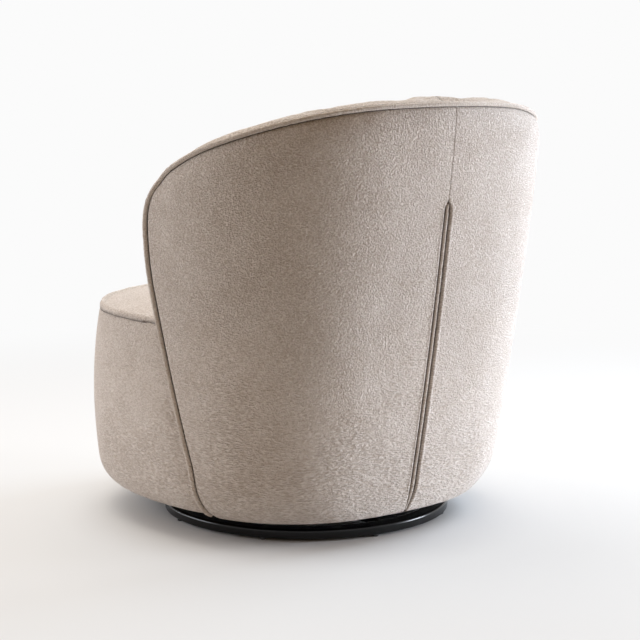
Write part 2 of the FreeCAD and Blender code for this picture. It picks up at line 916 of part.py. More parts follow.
frame = frame_layer()
rail_top_of_bottom = board_top + bottom_rail_height
save("bottom_rail", frame.common(slab(board_top, rail_top_of_bottom)))
band = rim_band(frame.common(slab(rail_top_of_bottom, form_top)))
arm_split = arm_top_height - rail_height
save("top_rail", band.common(slab(arm_split, form_top)))
posts = band.common(slab(rail_top_of_bottom, arm_split))
save("arm_post_left", half(posts, 1))
save("arm_post_right", half(posts, -1))
between = frame.common(behind_rim(-rail_drop - rail_height)).common(slab(rail_top_of_bottom, form_top))
for name, angle in (("back", 14.0), ("side", 52.0)):
    for side_name, side in (("left", 1), ("right", -1)):
        post = between.common(strip(side * angle, post_width, rail_top_of_bottom, form_top))
        save(f"{name}_post_{side_name}", post)

web = trimmed(shell_layer(webbing_inset, pad_inset), board_top, -webbing_margin)
web_angles = [-70.0, -52.0, -34.0, -17.0, 0.0, 17.0, 34.0, 52.0, 70.0]
straps = [web.common(strip(angle, webbing_width, board_top, form_top)) for angle in web_angles]
save("back_webbing", *straps)

pad = pad_form(0).common(pad_zone(pad_front_bulge))
foam = pad_form(inner_cover_thickness).common(pad_zone(pad_front_bulge - inner_cover_thickness))
save("inner_back_foam", foam)
inner_cover = pad.cut(foam)
save("inner_cover_left", half(inner_cover, 1))
save("inner_cover_right", half(inner_cover, -1))

tub_wall = behind_rim(welt_width).cut(shell_form(pad_inset))
topper = within_tub(seat_dome(seat_cover_thickness))
save("seat_cover", within_tub(seat_dome(0)).cut(topper))
save("seat_topper", topper)
save("seat_foam", seat_foam())

foam_inset = cover_thickness + drum_foam_thickness
save("front_cover", front_layer(0, cover_thickness, drum_hem_height, seam_height))
save("front_foam", front_layer(cover_thickness, foam_inset, drum_hem_height, seam_height))
panel_inset = foam_inset + front_panel_thickness
save("front_panel", front_layer(foam_inset, panel_inset, board_top, deck_top))
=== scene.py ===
import bmesh
import bpy
import math
import numpy as np
from mathutils import Matrix, Vector, kdtree, noise


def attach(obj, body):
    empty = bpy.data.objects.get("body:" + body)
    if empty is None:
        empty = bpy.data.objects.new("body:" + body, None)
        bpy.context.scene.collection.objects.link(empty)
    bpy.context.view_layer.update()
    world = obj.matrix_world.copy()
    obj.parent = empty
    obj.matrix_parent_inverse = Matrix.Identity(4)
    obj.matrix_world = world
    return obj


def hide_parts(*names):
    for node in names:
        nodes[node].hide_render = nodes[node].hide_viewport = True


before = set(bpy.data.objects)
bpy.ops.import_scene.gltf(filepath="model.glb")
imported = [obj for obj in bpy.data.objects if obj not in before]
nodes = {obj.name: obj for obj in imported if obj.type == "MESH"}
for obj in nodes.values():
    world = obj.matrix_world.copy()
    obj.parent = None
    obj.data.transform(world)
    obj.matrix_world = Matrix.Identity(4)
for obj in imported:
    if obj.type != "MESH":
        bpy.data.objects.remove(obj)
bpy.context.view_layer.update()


# Camera
# The photograph looks at the chair from behind its left side, from about three metres away and
# a little above the rim, with a long lens. The turn is measured from behind towards the left.
view_turn = math.radians(38.3976)
view_distance = 3.1013
view_height = 0.7926
view_tilt = math.radians(8.2798)
view_yaw = math.radians(0.4627)
picture_pixels = 640
focal_pixels = 1730.95
sensor_width = 36.0

stand = Vector((view_distance * math.sin(view_turn), view_distance * math.cos(view_turn), view_height))
ahead = Vector((-math.sin(view_turn), -math.cos(view_turn), 0))
beside = Vector((-math.cos(view_turn), math.sin(view_turn), 0))
level = ahead * math.cos(view_yaw) + beside * math.sin(view_yaw)
right = beside * math.cos(view_yaw) - ahead * math.sin(view_yaw)
forward = level * math.cos(view_tilt) - Vector((0, 0, math.sin(view_tilt)))
aim = Matrix((right, right.cross(forward), -forward)).transposed().to_4x4()

camera = bpy.data.objects.new("camera", bpy.data.cameras.new("camera"))
bpy.context.scene.collection.objects.link(camera)
camera.matrix_world = Matrix.Translation(stand) @ aim
camera.data.sensor_width = sensor_width
camera.data.lens = sensor_width * focal_pixels / picture_pixels
bpy.context.scene.camera = camera
bpy.context.scene.view_settings.view_transform = "Standard"


# Studio
# A pale floor that runs off into white, a low strong lamp and a high broad one on the right of the
# picture, a weaker one on its left, one overhead, and a little even light from all round.
def linear(hex_colour):
    """An sRGB hex colour as linear red, green, blue and full alpha."""
    parts = [int(hex_colour[i:i + 2], 16) / 255 for i in (1, 3, 5)]
    return (*(p / 12.92 if p <= 0.04045 else ((p + 0.055) / 1.055) ** 2.4 for p in parts), 1.0)


def add_node(tree, kind, inputs=None, **settings):
    """Adds a node. An input given as a socket is linked, and any other value is set on it."""
    made = tree.nodes.new(kind)
    for name, value in settings.items():
        setattr(made, name, value)
    for key, value in (inputs or {}).items():
        if isinstance(value, bpy.types.NodeSocket):
            tree.links.new(value, made.inputs[key])
        else:
            made.inputs[key].default_value = value
    return made


def seen_share(tree):
    """1 where the background itself is seen, also in a gloss, and 0 for light on the object."""
    path = add_node(tree, "ShaderNodeLightPath").outputs
    straight = {0: path["Is Camera Ray"], 1: path["Is Glossy Ray"]}
    straight = add_node(tree, "ShaderNodeMath", straight, operation="MAXIMUM").outputs[0]
    either = {0: straight, 1: path["Is Transmission Ray"]}
    return add_node(tree, "ShaderNodeMath", either, operation="MAXIMUM").outputs[0]


backdrop_white = linear("#FBFBFB")
floor_grey = linear("#D6D5D3")
floor_fade = 0.75, 2.3
floor_white_share = 0.45
floor_under_chair = 0.24, 0.46
around_colour = linear("#FFD6AA")
around_strength = 0.23

world = bpy.data.worlds.new("studio")
bpy.context.scene.world = world
world.use_nodes = True
tree = world.node_tree
tree.nodes.clear()
lit = add_node(tree, "ShaderNodeBackground", {"Color": around_colour, "Strength": around_strength})
seen = add_node(tree, "ShaderNodeBackground", {"Color": backdrop_white, "Strength": 1.0})
either = {0: seen_share(tree), 1: lit.outputs[0], 2: seen.outputs[0]}
either = add_node(tree, "ShaderNodeMixShader", either).outputs[0]
add_node(tree, "ShaderNodeOutputWorld", {"Surface": either})

floor_reach = 9.0
floor_mesh = bpy.data.meshes.new("floor")
floor_corners = [(x * floor_reach, y * floor_reach, 0) for x, y in ((-1, -1), (1, -1), (1, 1), (-1, 1))]
floor_mesh.from_pydata(floor_corners, [], [(0, 1, 2, 3)])
floor = bpy.data.objects.new("floor", floor_mesh)
bpy.context.scene.collection.objects.link(floor)
floor_paint = bpy.data.materials.new("matt studio floor")
floor_paint.use_nodes = True
tree = floor_paint.node_tree
tree.nodes.clear()
place = add_node(tree, "ShaderNodeTexCoord").outputs["Object"]
away = add_node(tree, "ShaderNodeVectorMath", {0: place}, operation="LENGTH").outputs["Value"]
near, off = floor_under_chair
under = {"Value": away, "From Min": near, "From Max": off, "To Max": floor_white_share}
under = add_node(tree, "ShaderNodeMapRange", under, interpolation_type="SMOOTHSTEP").outputs[0]
near, off = floor_fade
fade = {"Value": away, "From Min": near, "From Max": off, "To Min": under}
fade = add_node(tree, "ShaderNodeMapRange", fade, interpolation_type="SMOOTHSTEP").outputs[0]
fade = add_node(tree, "ShaderNodeMath", {0: fade, 1: seen_share(tree)}, operation="MULTIPLY").outputs[0]
matt = add_node(tree, "ShaderNodeBsdfDiffuse", {"Color": floor_grey}).outputs[0]
white = add_node(tree, "ShaderNodeEmission", {"Color": backdrop_white, "Strength": 1.0}).outputs[0]
ground = add_node(tree, "ShaderNodeMixShader", {0: fade, 1: matt, 2: white}).outputs[0]
add_node(tree, "ShaderNodeOutputMaterial", {"Surface": ground})
floor_mesh.materials.append(floor_paint)

lamp_aim = Vector((0, 0, 0.4))


def soft_lamp(name, turn, distance, height, size, power, colour):
    """A square soft lamp at a turn from behind towards the left, aimed at the chair's middle."""
    lamp = bpy.data.objects.new(name, bpy.data.lights.new(name, "AREA"))
    bpy.context.scene.collection.objects.link(lamp)
    turn = math.radians(turn)
    lamp.location = distance * math.sin(turn), distance * math.cos(turn), height
    lamp.rotation_euler = (lamp_aim - lamp.location).to_track_quat("-Z", "Y").to_euler()
    lamp.data.size = size
    lamp.data.energy = power
    lamp.data.color = linear(colour)[:3]


soft_lamp("lamp_right_low", -55, 3.0, 0.45, 1.0, 120, "#EAF2FF")
soft_lamp("lamp_right_high", -84, 2.9, 2.2, 1.6, 106, "#D8EBFF")
soft_lamp("lamp_left", 132, 3.0, 1.0, 1.6, 54, "#F0F5FF")
soft_lamp("lamp_over", 180, 0.7, 2.7, 2.4, 64, "#FFFAF2")


# Ring base
# A flat steel ring with two crossing steel bars welded inside it, powder coated black as one
# weldment. The coat is thin and even, with a fine orange peel and a satin shine.
def new_material(name):
    """An empty material of its own, and its node tree."""
    material = bpy.data.materials.new(name)
    material.use_nodes = True
    material.node_tree.nodes.clear()
    return material, material.node_tree


def grained(name, dark, light, grain, rough, relief=None, spread=(0.0, 1.0), looks=None):
    """Material whose shade and roughness follow one grain, and whose relief follows another.

    A grain is a size in millimetres and a detail. A relief adds its depth in millimetres and a strength.
    """
    material, tree = new_material(name)
    place = add_node(tree, "ShaderNodeTexCoord").outputs["Object"]
    grain = {"Vector": place, "Scale": 1000 / grain[0], "Detail": grain[1]}
    grain = add_node(tree, "ShaderNodeTexNoise", grain).outputs["Fac"]
    shade = {"Value": grain, "From Min": spread[0], "From Max": spread[1]}
    shade = {0: add_node(tree, "ShaderNodeMapRange", shade).outputs[0], 6: linear(dark), 7: linear(light)}
    shade = add_node(tree, "ShaderNodeMix", shade, data_type="RGBA").outputs[2]
    rough = {"Value": grain, "From Min": 0.3, "From Max": 0.7, "To Min": rough[0], "To Max": rough[1]}
    rough = add_node(tree, "ShaderNodeMapRange", rough).outputs[0]
    looks = {"Base Color": shade, "Roughness": rough, **(looks or {})}
    if relief:
        size, detail, depth, strength = relief
        height = {"Vector": place, "Scale": 1000 / size, "Detail": detail}
        height = add_node(tree, "ShaderNodeTexNoise", height).outputs["Fac"]
        bump = {"Height": height, "Distance": depth / 1000, "Strength": strength}
        looks["Normal"] = add_node(tree, "ShaderNodeBump", bump).outputs[0]
    shader = add_node(tree, "ShaderNodeBsdfPrincipled", looks)
    add_node(tree, "ShaderNodeOutputMaterial", {"Surface": shader.outputs["BSDF"]})
    return material


# Handling dulls the coat in wide soft patches, and its peel breaks up the lamps' reflections
powder_coat = grained(
    "black powder coat", "#070708", "#0D0D0E", grain=(45, 4.0), rough=(0.16, 0.26),
    relief=(1.6, 2.0, 0.05, 0.3), spread=(0.35, 0.7), looks={"Specular IOR Level": 0.3},
)


def finish_nodes(material, slot, *names):
    """Gives carried-over nodes their real finish."""
    for name in names:
        nodes[name].data.materials[0] = material


finish_nodes(powder_coat, "black_powder_coat", "base_ring", "cross_bar", "cross_bar_halves")


# Glides
# Eight small round feet of black moulded nylon, pressed into holes under the ring.
# Their matt skin has a fine moulded grain and greys a little where it rubs the floor.
glide_nylon = grained(
    "moulded black nylon", "#141414", "#1E1E1D", grain=(0.8, 2.0), rough=(0.5, 0.62),
    relief=(0.8, 2.0, 0.05, 0.4),
)
finish_nodes(glide_nylon, "glide_nylon", "glides")


# Swivel bearing and fasteners
# Pressed steel plates, a ball cage, a centre pivot, bolts, nuts, clips and screws, all zinc
# plated: a cool grey metal with soft cloudy spangles.
zinc_plate = grained(
    "zinc plated steel", "#A9ADB2", "#C9CCCF", grain=(7, 3.0), rough=(0.28, 0.44),
    relief=(1.2, 2.0, 0.03, 0.3), looks={"Metallic": 1.0},
)
finish_nodes(
    zinc_plate, "zinc_plated_steel", "lower_swivel_plate", "upper_swivel_plate", "bearing_cage",
    "swivel_pivot", "lower_plate_bolts", "lower_plate_nuts", "upper_plate_bolts", "board_screws",
    "box_screws", "spring_clips",
)

# Hard polished balls mirror the race, under a thin uneven film of grease
ball_steel = grained(
    "polished bearing steel", "#B9B9BB", "#CDCDCE", grain=(3, 2.0), rough=(0.08, 0.16),
    looks={"Metallic": 1.0},
)
finish_nodes(ball_steel, "bearing_steel", "bearing_balls")

# Oil hardening leaves the wire dark, with a dull bluish scale
spring_steel = grained(
    "oil hardened spring wire", "#2A2A2D", "#45454A", grain=(5, 3.0), rough=(0.3, 0.5),
    looks={"Metallic": 1.0},
)
finish_nodes(spring_steel, "spring_steel", "seat_springs")


# Frame
# Plywood board, seat box and rails with their plies showing at the edges, sawn timber posts and
# blocks, and thin brown hardboard bent round the outside.
wood_grain_length = 14
wood_relief_mm = 0.15
glue_line_colour = "#7A5A38"
glue_line_mm = 0.8, 1.2
glue_line_strength = 0.35


def wood(name, dark, light, grain_mm, axis, ply_mm=0.0):
    """Wood with its grain drawn out along one axis, and the glue lines of its plies where it has any."""
    material, tree = new_material(name)
    place = add_node(tree, "ShaderNodeTexCoord").outputs["Object"]
    stretch = [1.0, 1.0, 1.0]
    stretch[axis] = 1 / wood_grain_length
    drawn = add_node(tree, "ShaderNodeMapping", {"Vector": place, "Scale": stretch}).outputs[0]
    grain = {"Vector": drawn, "Scale": 1000 / grain_mm, "Detail": 5.0}
    grain = add_node(tree, "ShaderNodeTexNoise", grain).outputs["Fac"]
    shade = {"Value": grain, "From Min": 0.35, "From Max": 0.65}
    shade = {0: add_node(tree, "ShaderNodeMapRange", shade).outputs[0], 6: linear(dark), 7: linear(light)}
    shade = add_node(tree, "ShaderNodeMix", shade, data_type="RGBA").outputs[2]
    if ply_mm:
        level = add_node(tree, "ShaderNodeSeparateXYZ", {"Vector": place}).outputs["Z"]
        ply = {0: level, 1: 2 * ply_mm / 1000}
        ply = {"Value": add_node(tree, "ShaderNodeMath", ply, operation="PINGPONG").outputs[0]}
        near, off = glue_line_mm
        ply.update({"From Min": near / 1000, "From Max": off / 1000, "To Max": glue_line_strength})
        ply = add_node(tree, "ShaderNodeMapRange", ply).outputs[0]
        shade = {0: ply, 6: shade, 7: linear(glue_line_colour)}
        shade = add_node(tree, "ShaderNodeMix", shade, data_type="RGBA").outputs[2]
    rough = {"Value": grain, "From Min": 0.3, "From Max": 0.7, "To Min": 0.6, "To Max": 0.8}
    rough = add_node(tree, "ShaderNodeMapRange", rough).outputs[0]
    bump = {"Height": grain, "Distance": wood_relief_mm / 1000, "Strength": 0.5}
    bump = add_node(tree, "ShaderNodeBump", bump).outputs[0]
    looks = {"Base Color": shade, "Roughness": rough, "Normal": bump}
    shader = add_node(tree, "ShaderNodeBsdfPrincipled", looks)
    add_node(tree, "ShaderNodeOutputMaterial", {"Surface": shader.outputs["BSDF"]})
    return material


plywood = wood("birch plywood", "#A98A5F", "#C9AF86", 6, 0, ply_mm=1.5)
timber = wood("sawn pine", "#B08D5E", "#CFB183", 5, 2)
hardboard = wood("hardboard", "#5C4029", "#7A5838", 2, 2)
finish_nodes(
    plywood, "plywood", "base_board", "seat_box_front", "seat_box_back", "seat_box_left",
    "seat_box_right", "bottom_rail", "top_rail",
)
finish_nodes(
    timber, "frame_timber", "corner_blocks", "arm_post_left", "arm_post_right", "back_post_left",
    "back_post_right", "side_post_left", "side_post_right",
)
finish_nodes(hardboard, "hardboard", "outer_board", "front_panel")


# Hidden fillings
# Cream polyurethane foam, grey needled felt over the springs and dark elastic webbing with its
# ribs along the strap. All of it lies closed in under the covers.
def filling(name, dark, light, grain_mm, relief_mm):
    """A dull soft filling with its cells, fibres or ribs in relief."""
    return grained(
        name, dark, light, grain=(grain_mm, 3.0), rough=(0.85, 0.98), relief=(grain_mm, 3.0, relief_mm, 0.7),
        spread=(0.3, 0.7),
    )


foam = filling("polyurethane foam", "#CDBE93", "#E6DAB4", 1.2, 0.3)
felt = filling("needled felt", "#55565A", "#7C7D80", 2.5, 0.4)
webbing = filling("elastic webbing", "#232326", "#3B3B40", 1.8, 0.3)
finish_nodes(foam, "foam", "seat_foam")
finish_nodes(felt, "felt", "spring_felt")
finish_nodes(webbing, "webbing", "back_webbing")


# Underside
# A black non-woven cloth stapled up under the plywood board, a little slack between its staples.
# Its felted fibres leave a dull, faintly mottled black.
dust_cloth = grained(
    "non-woven dust cloth", "#0D0D0E", "#1B1B1D", grain=(2.2, 4.0), rough=(0.8, 0.95),
    relief=(2.2, 4.0, 0.2, 0.6), spread=(0.3, 0.7), looks={"Sheen Weight": 0.2},
)
finish_nodes(dust_cloth, "dust_cloth", "dust_cover")


# Outer back panels
# Two panels of greige chenille, sewn to each other down the middle of the back over thin wadding,
# and drawn over the hardboard from the piped rim and arm fronts to under the hem.
MM = 0.001
shell_size = 371.1, 348.3
shell_shape = 2.126, 0.775
shell_line_height = 400.0
side_flare = 0.0782, 6.33e-5
back_flare = 0.1561, 6.9e-5
side_hem = 113.0, 80.0
back_hem = 93.0, 125.0
rim_draw = 690.0, 130.0


def drawn_in(past, curve):
    """How far a wall has drawn in at a distance past the start of its rounding."""
    past = np.clip(past, 0, 0.98 * curve)
    return curve - np.sqrt(curve**2 - past**2)


def quarter_walk(half_width, depth, shape, distance):
    """Place and facing on a quarter plan of three tangent arcs, and the quarter's length.

    The distance runs from the middle of the quarter's end to its side, as a share of its length.
    """
    fullness, corner = shape
    side_radius = fullness * depth**2 / half_width
    end_radius = fullness * half_width**2 / depth
    corner_radius = corner * np.sqrt(half_width * depth)
    side_x, end_y = half_width - side_radius, depth - end_radius
    near, far = side_radius - corner_radius, end_radius - corner_radius
    gap = np.hypot(side_x, end_y)
    along = (near**2 - far**2 + gap**2) / (2 * gap)
    off = np.sqrt(np.maximum(near**2 - along**2, 0))
    unit_x, unit_y = -side_x / gap, end_y / gap
    off = np.where(unit_x > unit_y, off, -off)
    corner_x = side_x + unit_x * along - unit_y * off
    corner_y = unit_y * along + unit_x * off
    end_turn = np.arctan2(corner_x, corner_y - end_y)
    side_turn = np.arctan2(corner_x - side_x, corner_y)
    end_length = end_radius * end_turn
    corner_length = corner_radius * (side_turn - end_turn)
    length = end_length + corner_length + side_radius * (np.pi / 2 - side_turn)
    walked = distance * length
    on_end, on_corner = walked < end_length, walked < end_length + corner_length
    turn = np.where(on_end, walked / end_radius, np.where(
        on_corner,
        end_turn + (walked - end_length) / corner_radius,
        side_turn + (walked - end_length - corner_length) / side_radius,
    ))
    radius = np.where(on_end, end_radius, np.where(on_corner, corner_radius, side_radius))
    x = np.where(on_end, 0, np.where(on_corner, corner_x, side_x)) + radius * np.sin(turn)
    y = np.where(on_end, end_y, np.where(on_corner, corner_y, 0)) + radius * np.cos(turn)
    return x, y, turn, length


def on_shell(share, height, inset=0.0):
    """Point of the shell's left half at a share of the way from the back's middle to the side."""
    rise = height - shell_line_height
    top_draw = drawn_in(height - rim_draw[0], rim_draw[1])
    side_draw = drawn_in(side_hem[0] - height, side_hem[1])
    back_draw = drawn_in(back_hem[0] - height, back_hem[1])
    half_width = shell_size[0] + side_flare[0] * rise - side_flare[1] * rise**2 - top_draw - side_draw
    depth = shell_size[1] + back_flare[0] * rise - back_flare[1] * rise**2 - top_draw - back_draw
    x, y, turn, length = quarter_walk(half_width, depth, shell_shape, share)
    point = np.stack([x - np.sin(turn) * inset, y - np.cos(turn) * inset, height + 0 * x], axis=-1)
    return point, np.stack([np.sin(turn), np.cos(turn), 0 * turn], axis=-1), length


# Corner points (depth, height) and rounding of the arm front and the rim, seen from the side
side_corners = [
    (100.0, 0.0, 0.0),
    (118.0, 110.0, 250.0),
    (55.0, 466.0, 400.0),
    (55.0, 600.0, 122.0),
    (175.0, 659.0, 700.0),
    (400.0, 737.0, 0.0),
    (625.0, 815.0, 0.0),
]
outline_step = 2.0


def rounded_outline(corners, steps=24):
    """Evenly spaced points of a line through corners, each corner rounded by its tangent arc."""
    points = [np.array(corners[0][:2])]
    for before, corner, after in zip(corners, corners[1:], corners[2:]):
        here = np.array(corner[:2])
        arrive = (here - before[:2]) / np.linalg.norm(here - before[:2])
        leave = (after[:2] - here) / np.linalg.norm(after[:2] - here)
        half_turn = math.acos(np.clip(arrive @ leave, -1, 1)) / 2
        reach = corner[2] * math.tan(half_turn)
        first, last = here - arrive * reach, here + leave * reach
        s = np.linspace(0, 1, steps)[:, None]
        weights = (1 - s) ** 2, 2 * s * (1 - s) * math.cos(half_turn), s**2
        points += list((weights[0] * first + weights[1] * here + weights[2] * last) / sum(weights))
    points = np.array([*points, corners[-1][:2]])
    walked = np.concatenate([[0], np.cumsum(np.linalg.norm(np.diff(points, axis=0), axis=1))])
    even = np.arange(0, walked[-1], outline_step)
    return np.stack([np.interp(even, walked, points[:, axis]) for axis in (0, 1)], axis=1)


side_line = rounded_outline(side_corners)
side_heading = np.gradient(side_line, axis=0)
side_heading /= np.linalg.norm(side_heading, axis=1)[:, None]
side_normal = np.stack([-side_heading[:, 1], side_heading[:, 0]], axis=1)
rim_start = int(np.argmax((side_heading[:, 0] > side_heading[:, 1]) & (side_line[:, 1] > 500)))


def share_at(depth, height):
    """Share of the way round the shell at which it has a depth, at a height."""
    shares = np.linspace(0, 1, 241)
    return np.array([
        np.interp(-y, -on_shell(shares, np.full_like(shares, z))[0][:, 1], shares)
        for y, z in zip(np.atleast_1d(depth), np.atleast_1d(height))
    ])


def arm_edge(heights, spread=0.0):
    """Shares round the shell of the arm front, moved out by a spread, at some heights."""
    line = (side_line + side_normal * spread)[:rim_start + 1]
    return share_at(np.interp(heights, line[:, 1], line[:, 0]), heights)


def rim_edge(shares, spread=0.0):
    """Heights of the rim, moved out by a spread, at some shares of the way round the shell."""
    line = (side_line + side_normal * spread)[rim_start:]
    low, high = np.full(len(shares), 560.0), np.full(len(shares), 760.0)
    for _ in range(40):
        middle = (low + high) / 2
        depth = on_shell(shares, middle)[0][:, 1]
        below = middle < np.interp(depth, line[:, 0], line[:, 1])
        low, high = np.where(below, middle, low), np.where(below, high, middle)
    return (low + high) / 2


def edge_corner(spread=0.0):
    """Share and height where the arm front's edge turns into the rim."""
    depth, height = side_line[rim_start] + side_normal[rim_start] * spread
    return share_at(depth, height)[0], height


def spaced(length, start_steps, end_steps, step):
    """Places along a length: fine steps from each end, and even ones between."""
    start = np.array(start_steps)
    end = length - np.array(end_steps)[::-1]
    count = max(int(round((end[0] - start[-1]) / step)), 1)
    return np.concatenate([start, np.linspace(start[-1], end[0], count + 1)[1:-1], end]) / length


def rolled(distance, radius, depth):
    """How far an edge is drawn in at a distance from it, as a quarter round."""
    return depth * (1 - np.sqrt(1 - np.clip(1 - distance / radius, 0, 1) ** 2))


def waver(points, size, seed):
    """Smooth noise from -1 to 1 over points, with grains of a size in the points' unit."""
    shift = Vector((17.3 * seed, -9.1 * seed, 5.7 * seed))
    rises = [noise.noise(Vector(point) / size + shift) for point in points.reshape(-1, 3)]
    return np.array(rises).reshape(points.shape[:-1])


def gathers(points, gather, seed, distance):
    """Small puckers of a height and a size, dying away over a reach from where they are sewn."""
    height, size, reach = gather
    return height * waver(points, size, seed) * np.exp(-distance / reach)


def edge_distance(points, line):
    """Distance from points to a line of points, and the place along it of the nearest."""
    tree = kdtree.KDTree(len(line))
    for index, point in enumerate(line):
        tree.insert(point, index)
    tree.balance()
    flat = points.reshape(-1, 3)
    nearest = np.array([tree.find(point)[1] for point in flat])
    best = np.full(len(flat), np.inf)
    for offset in (-1, 0):
        first = line[np.clip(nearest + offset, 0, len(line) - 2)]
        last = line[np.clip(nearest + offset, 0, len(line) - 2) + 1]
        span = last - first
        share = np.clip(((flat - first) * span).sum(axis=1) / (span**2).sum(axis=1), 0, 1)
        best = np.minimum(best, np.linalg.norm(flat - first - share[:, None] * span, axis=1))
    return best.reshape(points.shape[:-1]), nearest.reshape(points.shape[:-1])


def grid_piece(name, outer, inner, fold_shade):
    """Closed piece between an outer and an inner grid of points, with a painted shade share on each point.
    """
    rows, columns = outer.shape[:2]
    count = rows * columns
    index = np.arange(count).reshape(rows, columns)
    quads = np.stack([index[:-1, :-1], index[:-1, 1:], index[1:, 1:], index[1:, :-1]], axis=-1)
    quads = quads.reshape(-1, 4)
    rim = np.concatenate([index[0, :], index[1:, -1], index[-1, -2::-1], index[-2:0:-1, 0]])
    after = np.roll(rim, -1)
    sides = np.stack([after, rim, rim + count, after + count], axis=-1)
    mesh = bpy.data.meshes.new(name)
    points = np.concatenate([outer.reshape(-1, 3), inner.reshape(-1, 3)]) * MM
    mesh.from_pydata(points.tolist(), [], np.concatenate([quads, quads[:, ::-1] + count, sides]).tolist())
    fold_shades = mesh.attributes.new("fold_shade", "FLOAT", "POINT")
    fold_shades.data.foreach_set("value", np.concatenate([fold_shade.ravel(), np.ones(count)]).astype(np.float32))
    piece = bpy.data.objects.new(name, mesh)
    bpy.context.scene.collection.objects.link(piece)
    tidy = bmesh.new()
    tidy.from_mesh(mesh)
    bmesh.ops.recalc_face_normals(tidy, faces=tidy.faces)
    tidy.to_mesh(mesh)
    tidy.free()
    mesh.shade_smooth()
    return piece


curl_mm = 6.25
curl_swing_mm = 3.0
curl_stretch = 0.85, 0.85, 1.1
rib_stretch = 0.3, 0.3, 1.15
patch_mm = 120
cloud_mm = 60
pile_depth_mm = 2.2
pile_spread = 0.36, 0.64
rib_heights = 0.12, 0.4
rib_shares = 0.85, 0.12
pile_tone = 0.52
cloud_tone = 0.38
tone_spread = 0.72
# Painted shade: a deep brown that the cloth is mixed towards in seams, creases and under edges
fold_shadow_colour = "#4A3A2C"
fold_shadow_strength = 0.85


def chenille(name, dark, light, stroke_mm=2.4, contrast=1.0):
    """Looped pile: short strokes of yarn, curled higher up and lying in level ribs near the foot.

    The loops are about 1 mm wide, too fine to show from here, so they are drawn over 2 mm wide.
    The pile throws small soft shadows, and its tips shine pale where the light grazes them.
    """
    material, tree = new_material(name)
    place = add_node(tree, "ShaderNodeTexCoord").outputs["Object"]
    bend = {"Vector": place, "Scale": 1000 / curl_mm, "Detail": 1.0}
    bend = {0: add_node(tree, "ShaderNodeTexNoise", bend).outputs["Color"], 1: (0.5, 0.5, 0.5)}
    bend = {0: add_node(tree, "ShaderNodeVectorMath", bend, operation="SUBTRACT").outputs[0]}
    bend["Scale"] = curl_swing_mm / 1000
    bend = {0: place, 1: add_node(tree, "ShaderNodeVectorMath", bend, operation="SCALE").outputs[0]}
    bent = add_node(tree, "ShaderNodeVectorMath", bend, operation="ADD").outputs[0]
    strokes = []
    for stretch, detail in ((curl_stretch, 1.5), (rib_stretch, 2.5)):
        drawn = add_node(tree, "ShaderNodeMapping", {"Vector": bent, "Scale": stretch}).outputs[0]
        stroke = {"Vector": drawn, "Scale": 1000 / stroke_mm, "Detail": detail}
        strokes.append(add_node(tree, "ShaderNodeTexNoise", stroke).outputs["Fac"])
    low_down = add_node(tree, "ShaderNodeSeparateXYZ", {"Vector": place}).outputs["Z"]
    patches = {"Vector": place, "Scale": 1000 / patch_mm, "Detail": 2.0}
    patches = {0: add_node(tree, "ShaderNodeTexNoise", patches).outputs["Fac"], 1: -0.5}
    patches = add_node(tree, "ShaderNodeMath", patches, operation="ADD").outputs[0]
    low_down = {0: patches, 1: 0.5, 2: low_down}
    low_down = {"Value": add_node(tree, "ShaderNodeMath", low_down, operation="MULTIPLY_ADD").outputs[0]}
    low_down.update({"From Min": rib_heights[0], "From Max": rib_heights[1]})
    low_down.update({"To Min": rib_shares[0], "To Max": rib_shares[1]})
    pile = {0: add_node(tree, "ShaderNodeMapRange", low_down).outputs[0], 2: strokes[0], 3: strokes[1]}
    pile = {"Value": add_node(tree, "ShaderNodeMix", pile, data_type="FLOAT").outputs[0]}
    pile.update({"From Min": pile_spread[0], "From Max": pile_spread[1]})
    pile = add_node(tree, "ShaderNodeMapRange", pile).outputs[0]
    cloud = {"Vector": place, "Scale": 1000 / cloud_mm, "Detail": 4.0}
    cloud = add_node(tree, "ShaderNodeTexNoise", cloud).outputs["Fac"]
    tone = {0: pile, 1: pile_tone * contrast}
    tone = add_node(tree, "ShaderNodeMath", tone, operation="MULTIPLY").outputs[0]
    tone = {0: cloud, 1: cloud_tone, 2: tone}
    tone = add_node(tree, "ShaderNodeMath", tone, operation="MULTIPLY_ADD").outputs[0]
    tone = add_node(tree, "ShaderNodeMapRange", {"Value": tone, "From Max": tone_spread}).outputs[0]
    shade = {0: tone, 6: linear(dark), 7: linear(light)}
    shade = add_node(tree, "ShaderNodeMix", shade, data_type="RGBA").outputs[2]
    # Painted shade: each point's fold shade darkens the cloth towards the fold shadow colour
    fold_shade = add_node(tree, "ShaderNodeAttribute", attribute_name="fold_shade").outputs["Fac"]
    fold_shade = add_node(tree, "ShaderNodeMapRange", {"Value": fold_shade, "To Max": fold_shadow_strength}).outputs[0]
    shade = {0: fold_shade, 6: shade, 7: linear(fold_shadow_colour)}
    rough = {"Value": pile, "To Min": 0.98, "To Max": 0.88}
    bump = {"Height": pile, "Distance": pile_depth_mm / 1000, "Strength": 1.0}
    shader = add_node(tree, "ShaderNodeBsdfPrincipled", {
        "Base Color": add_node(tree, "ShaderNodeMix", shade, data_type="RGBA").outputs[2],
        "Roughness": add_node(tree, "ShaderNodeMapRange", rough).outputs[0],
        "Normal": add_node(tree, "ShaderNodeBump", bump).outputs[0],
        "Sheen Weight": 0.35,
        "Sheen Roughness": 0.5,
        "Specular IOR Level": 0.2,
    })
    add_node(tree, "ShaderNodeOutputMaterial", {"Surface": shader.outputs["BSDF"]})
    return material


greige_chenille = chenille("greige chenille", "#B2A08F", "#EAE0D7")

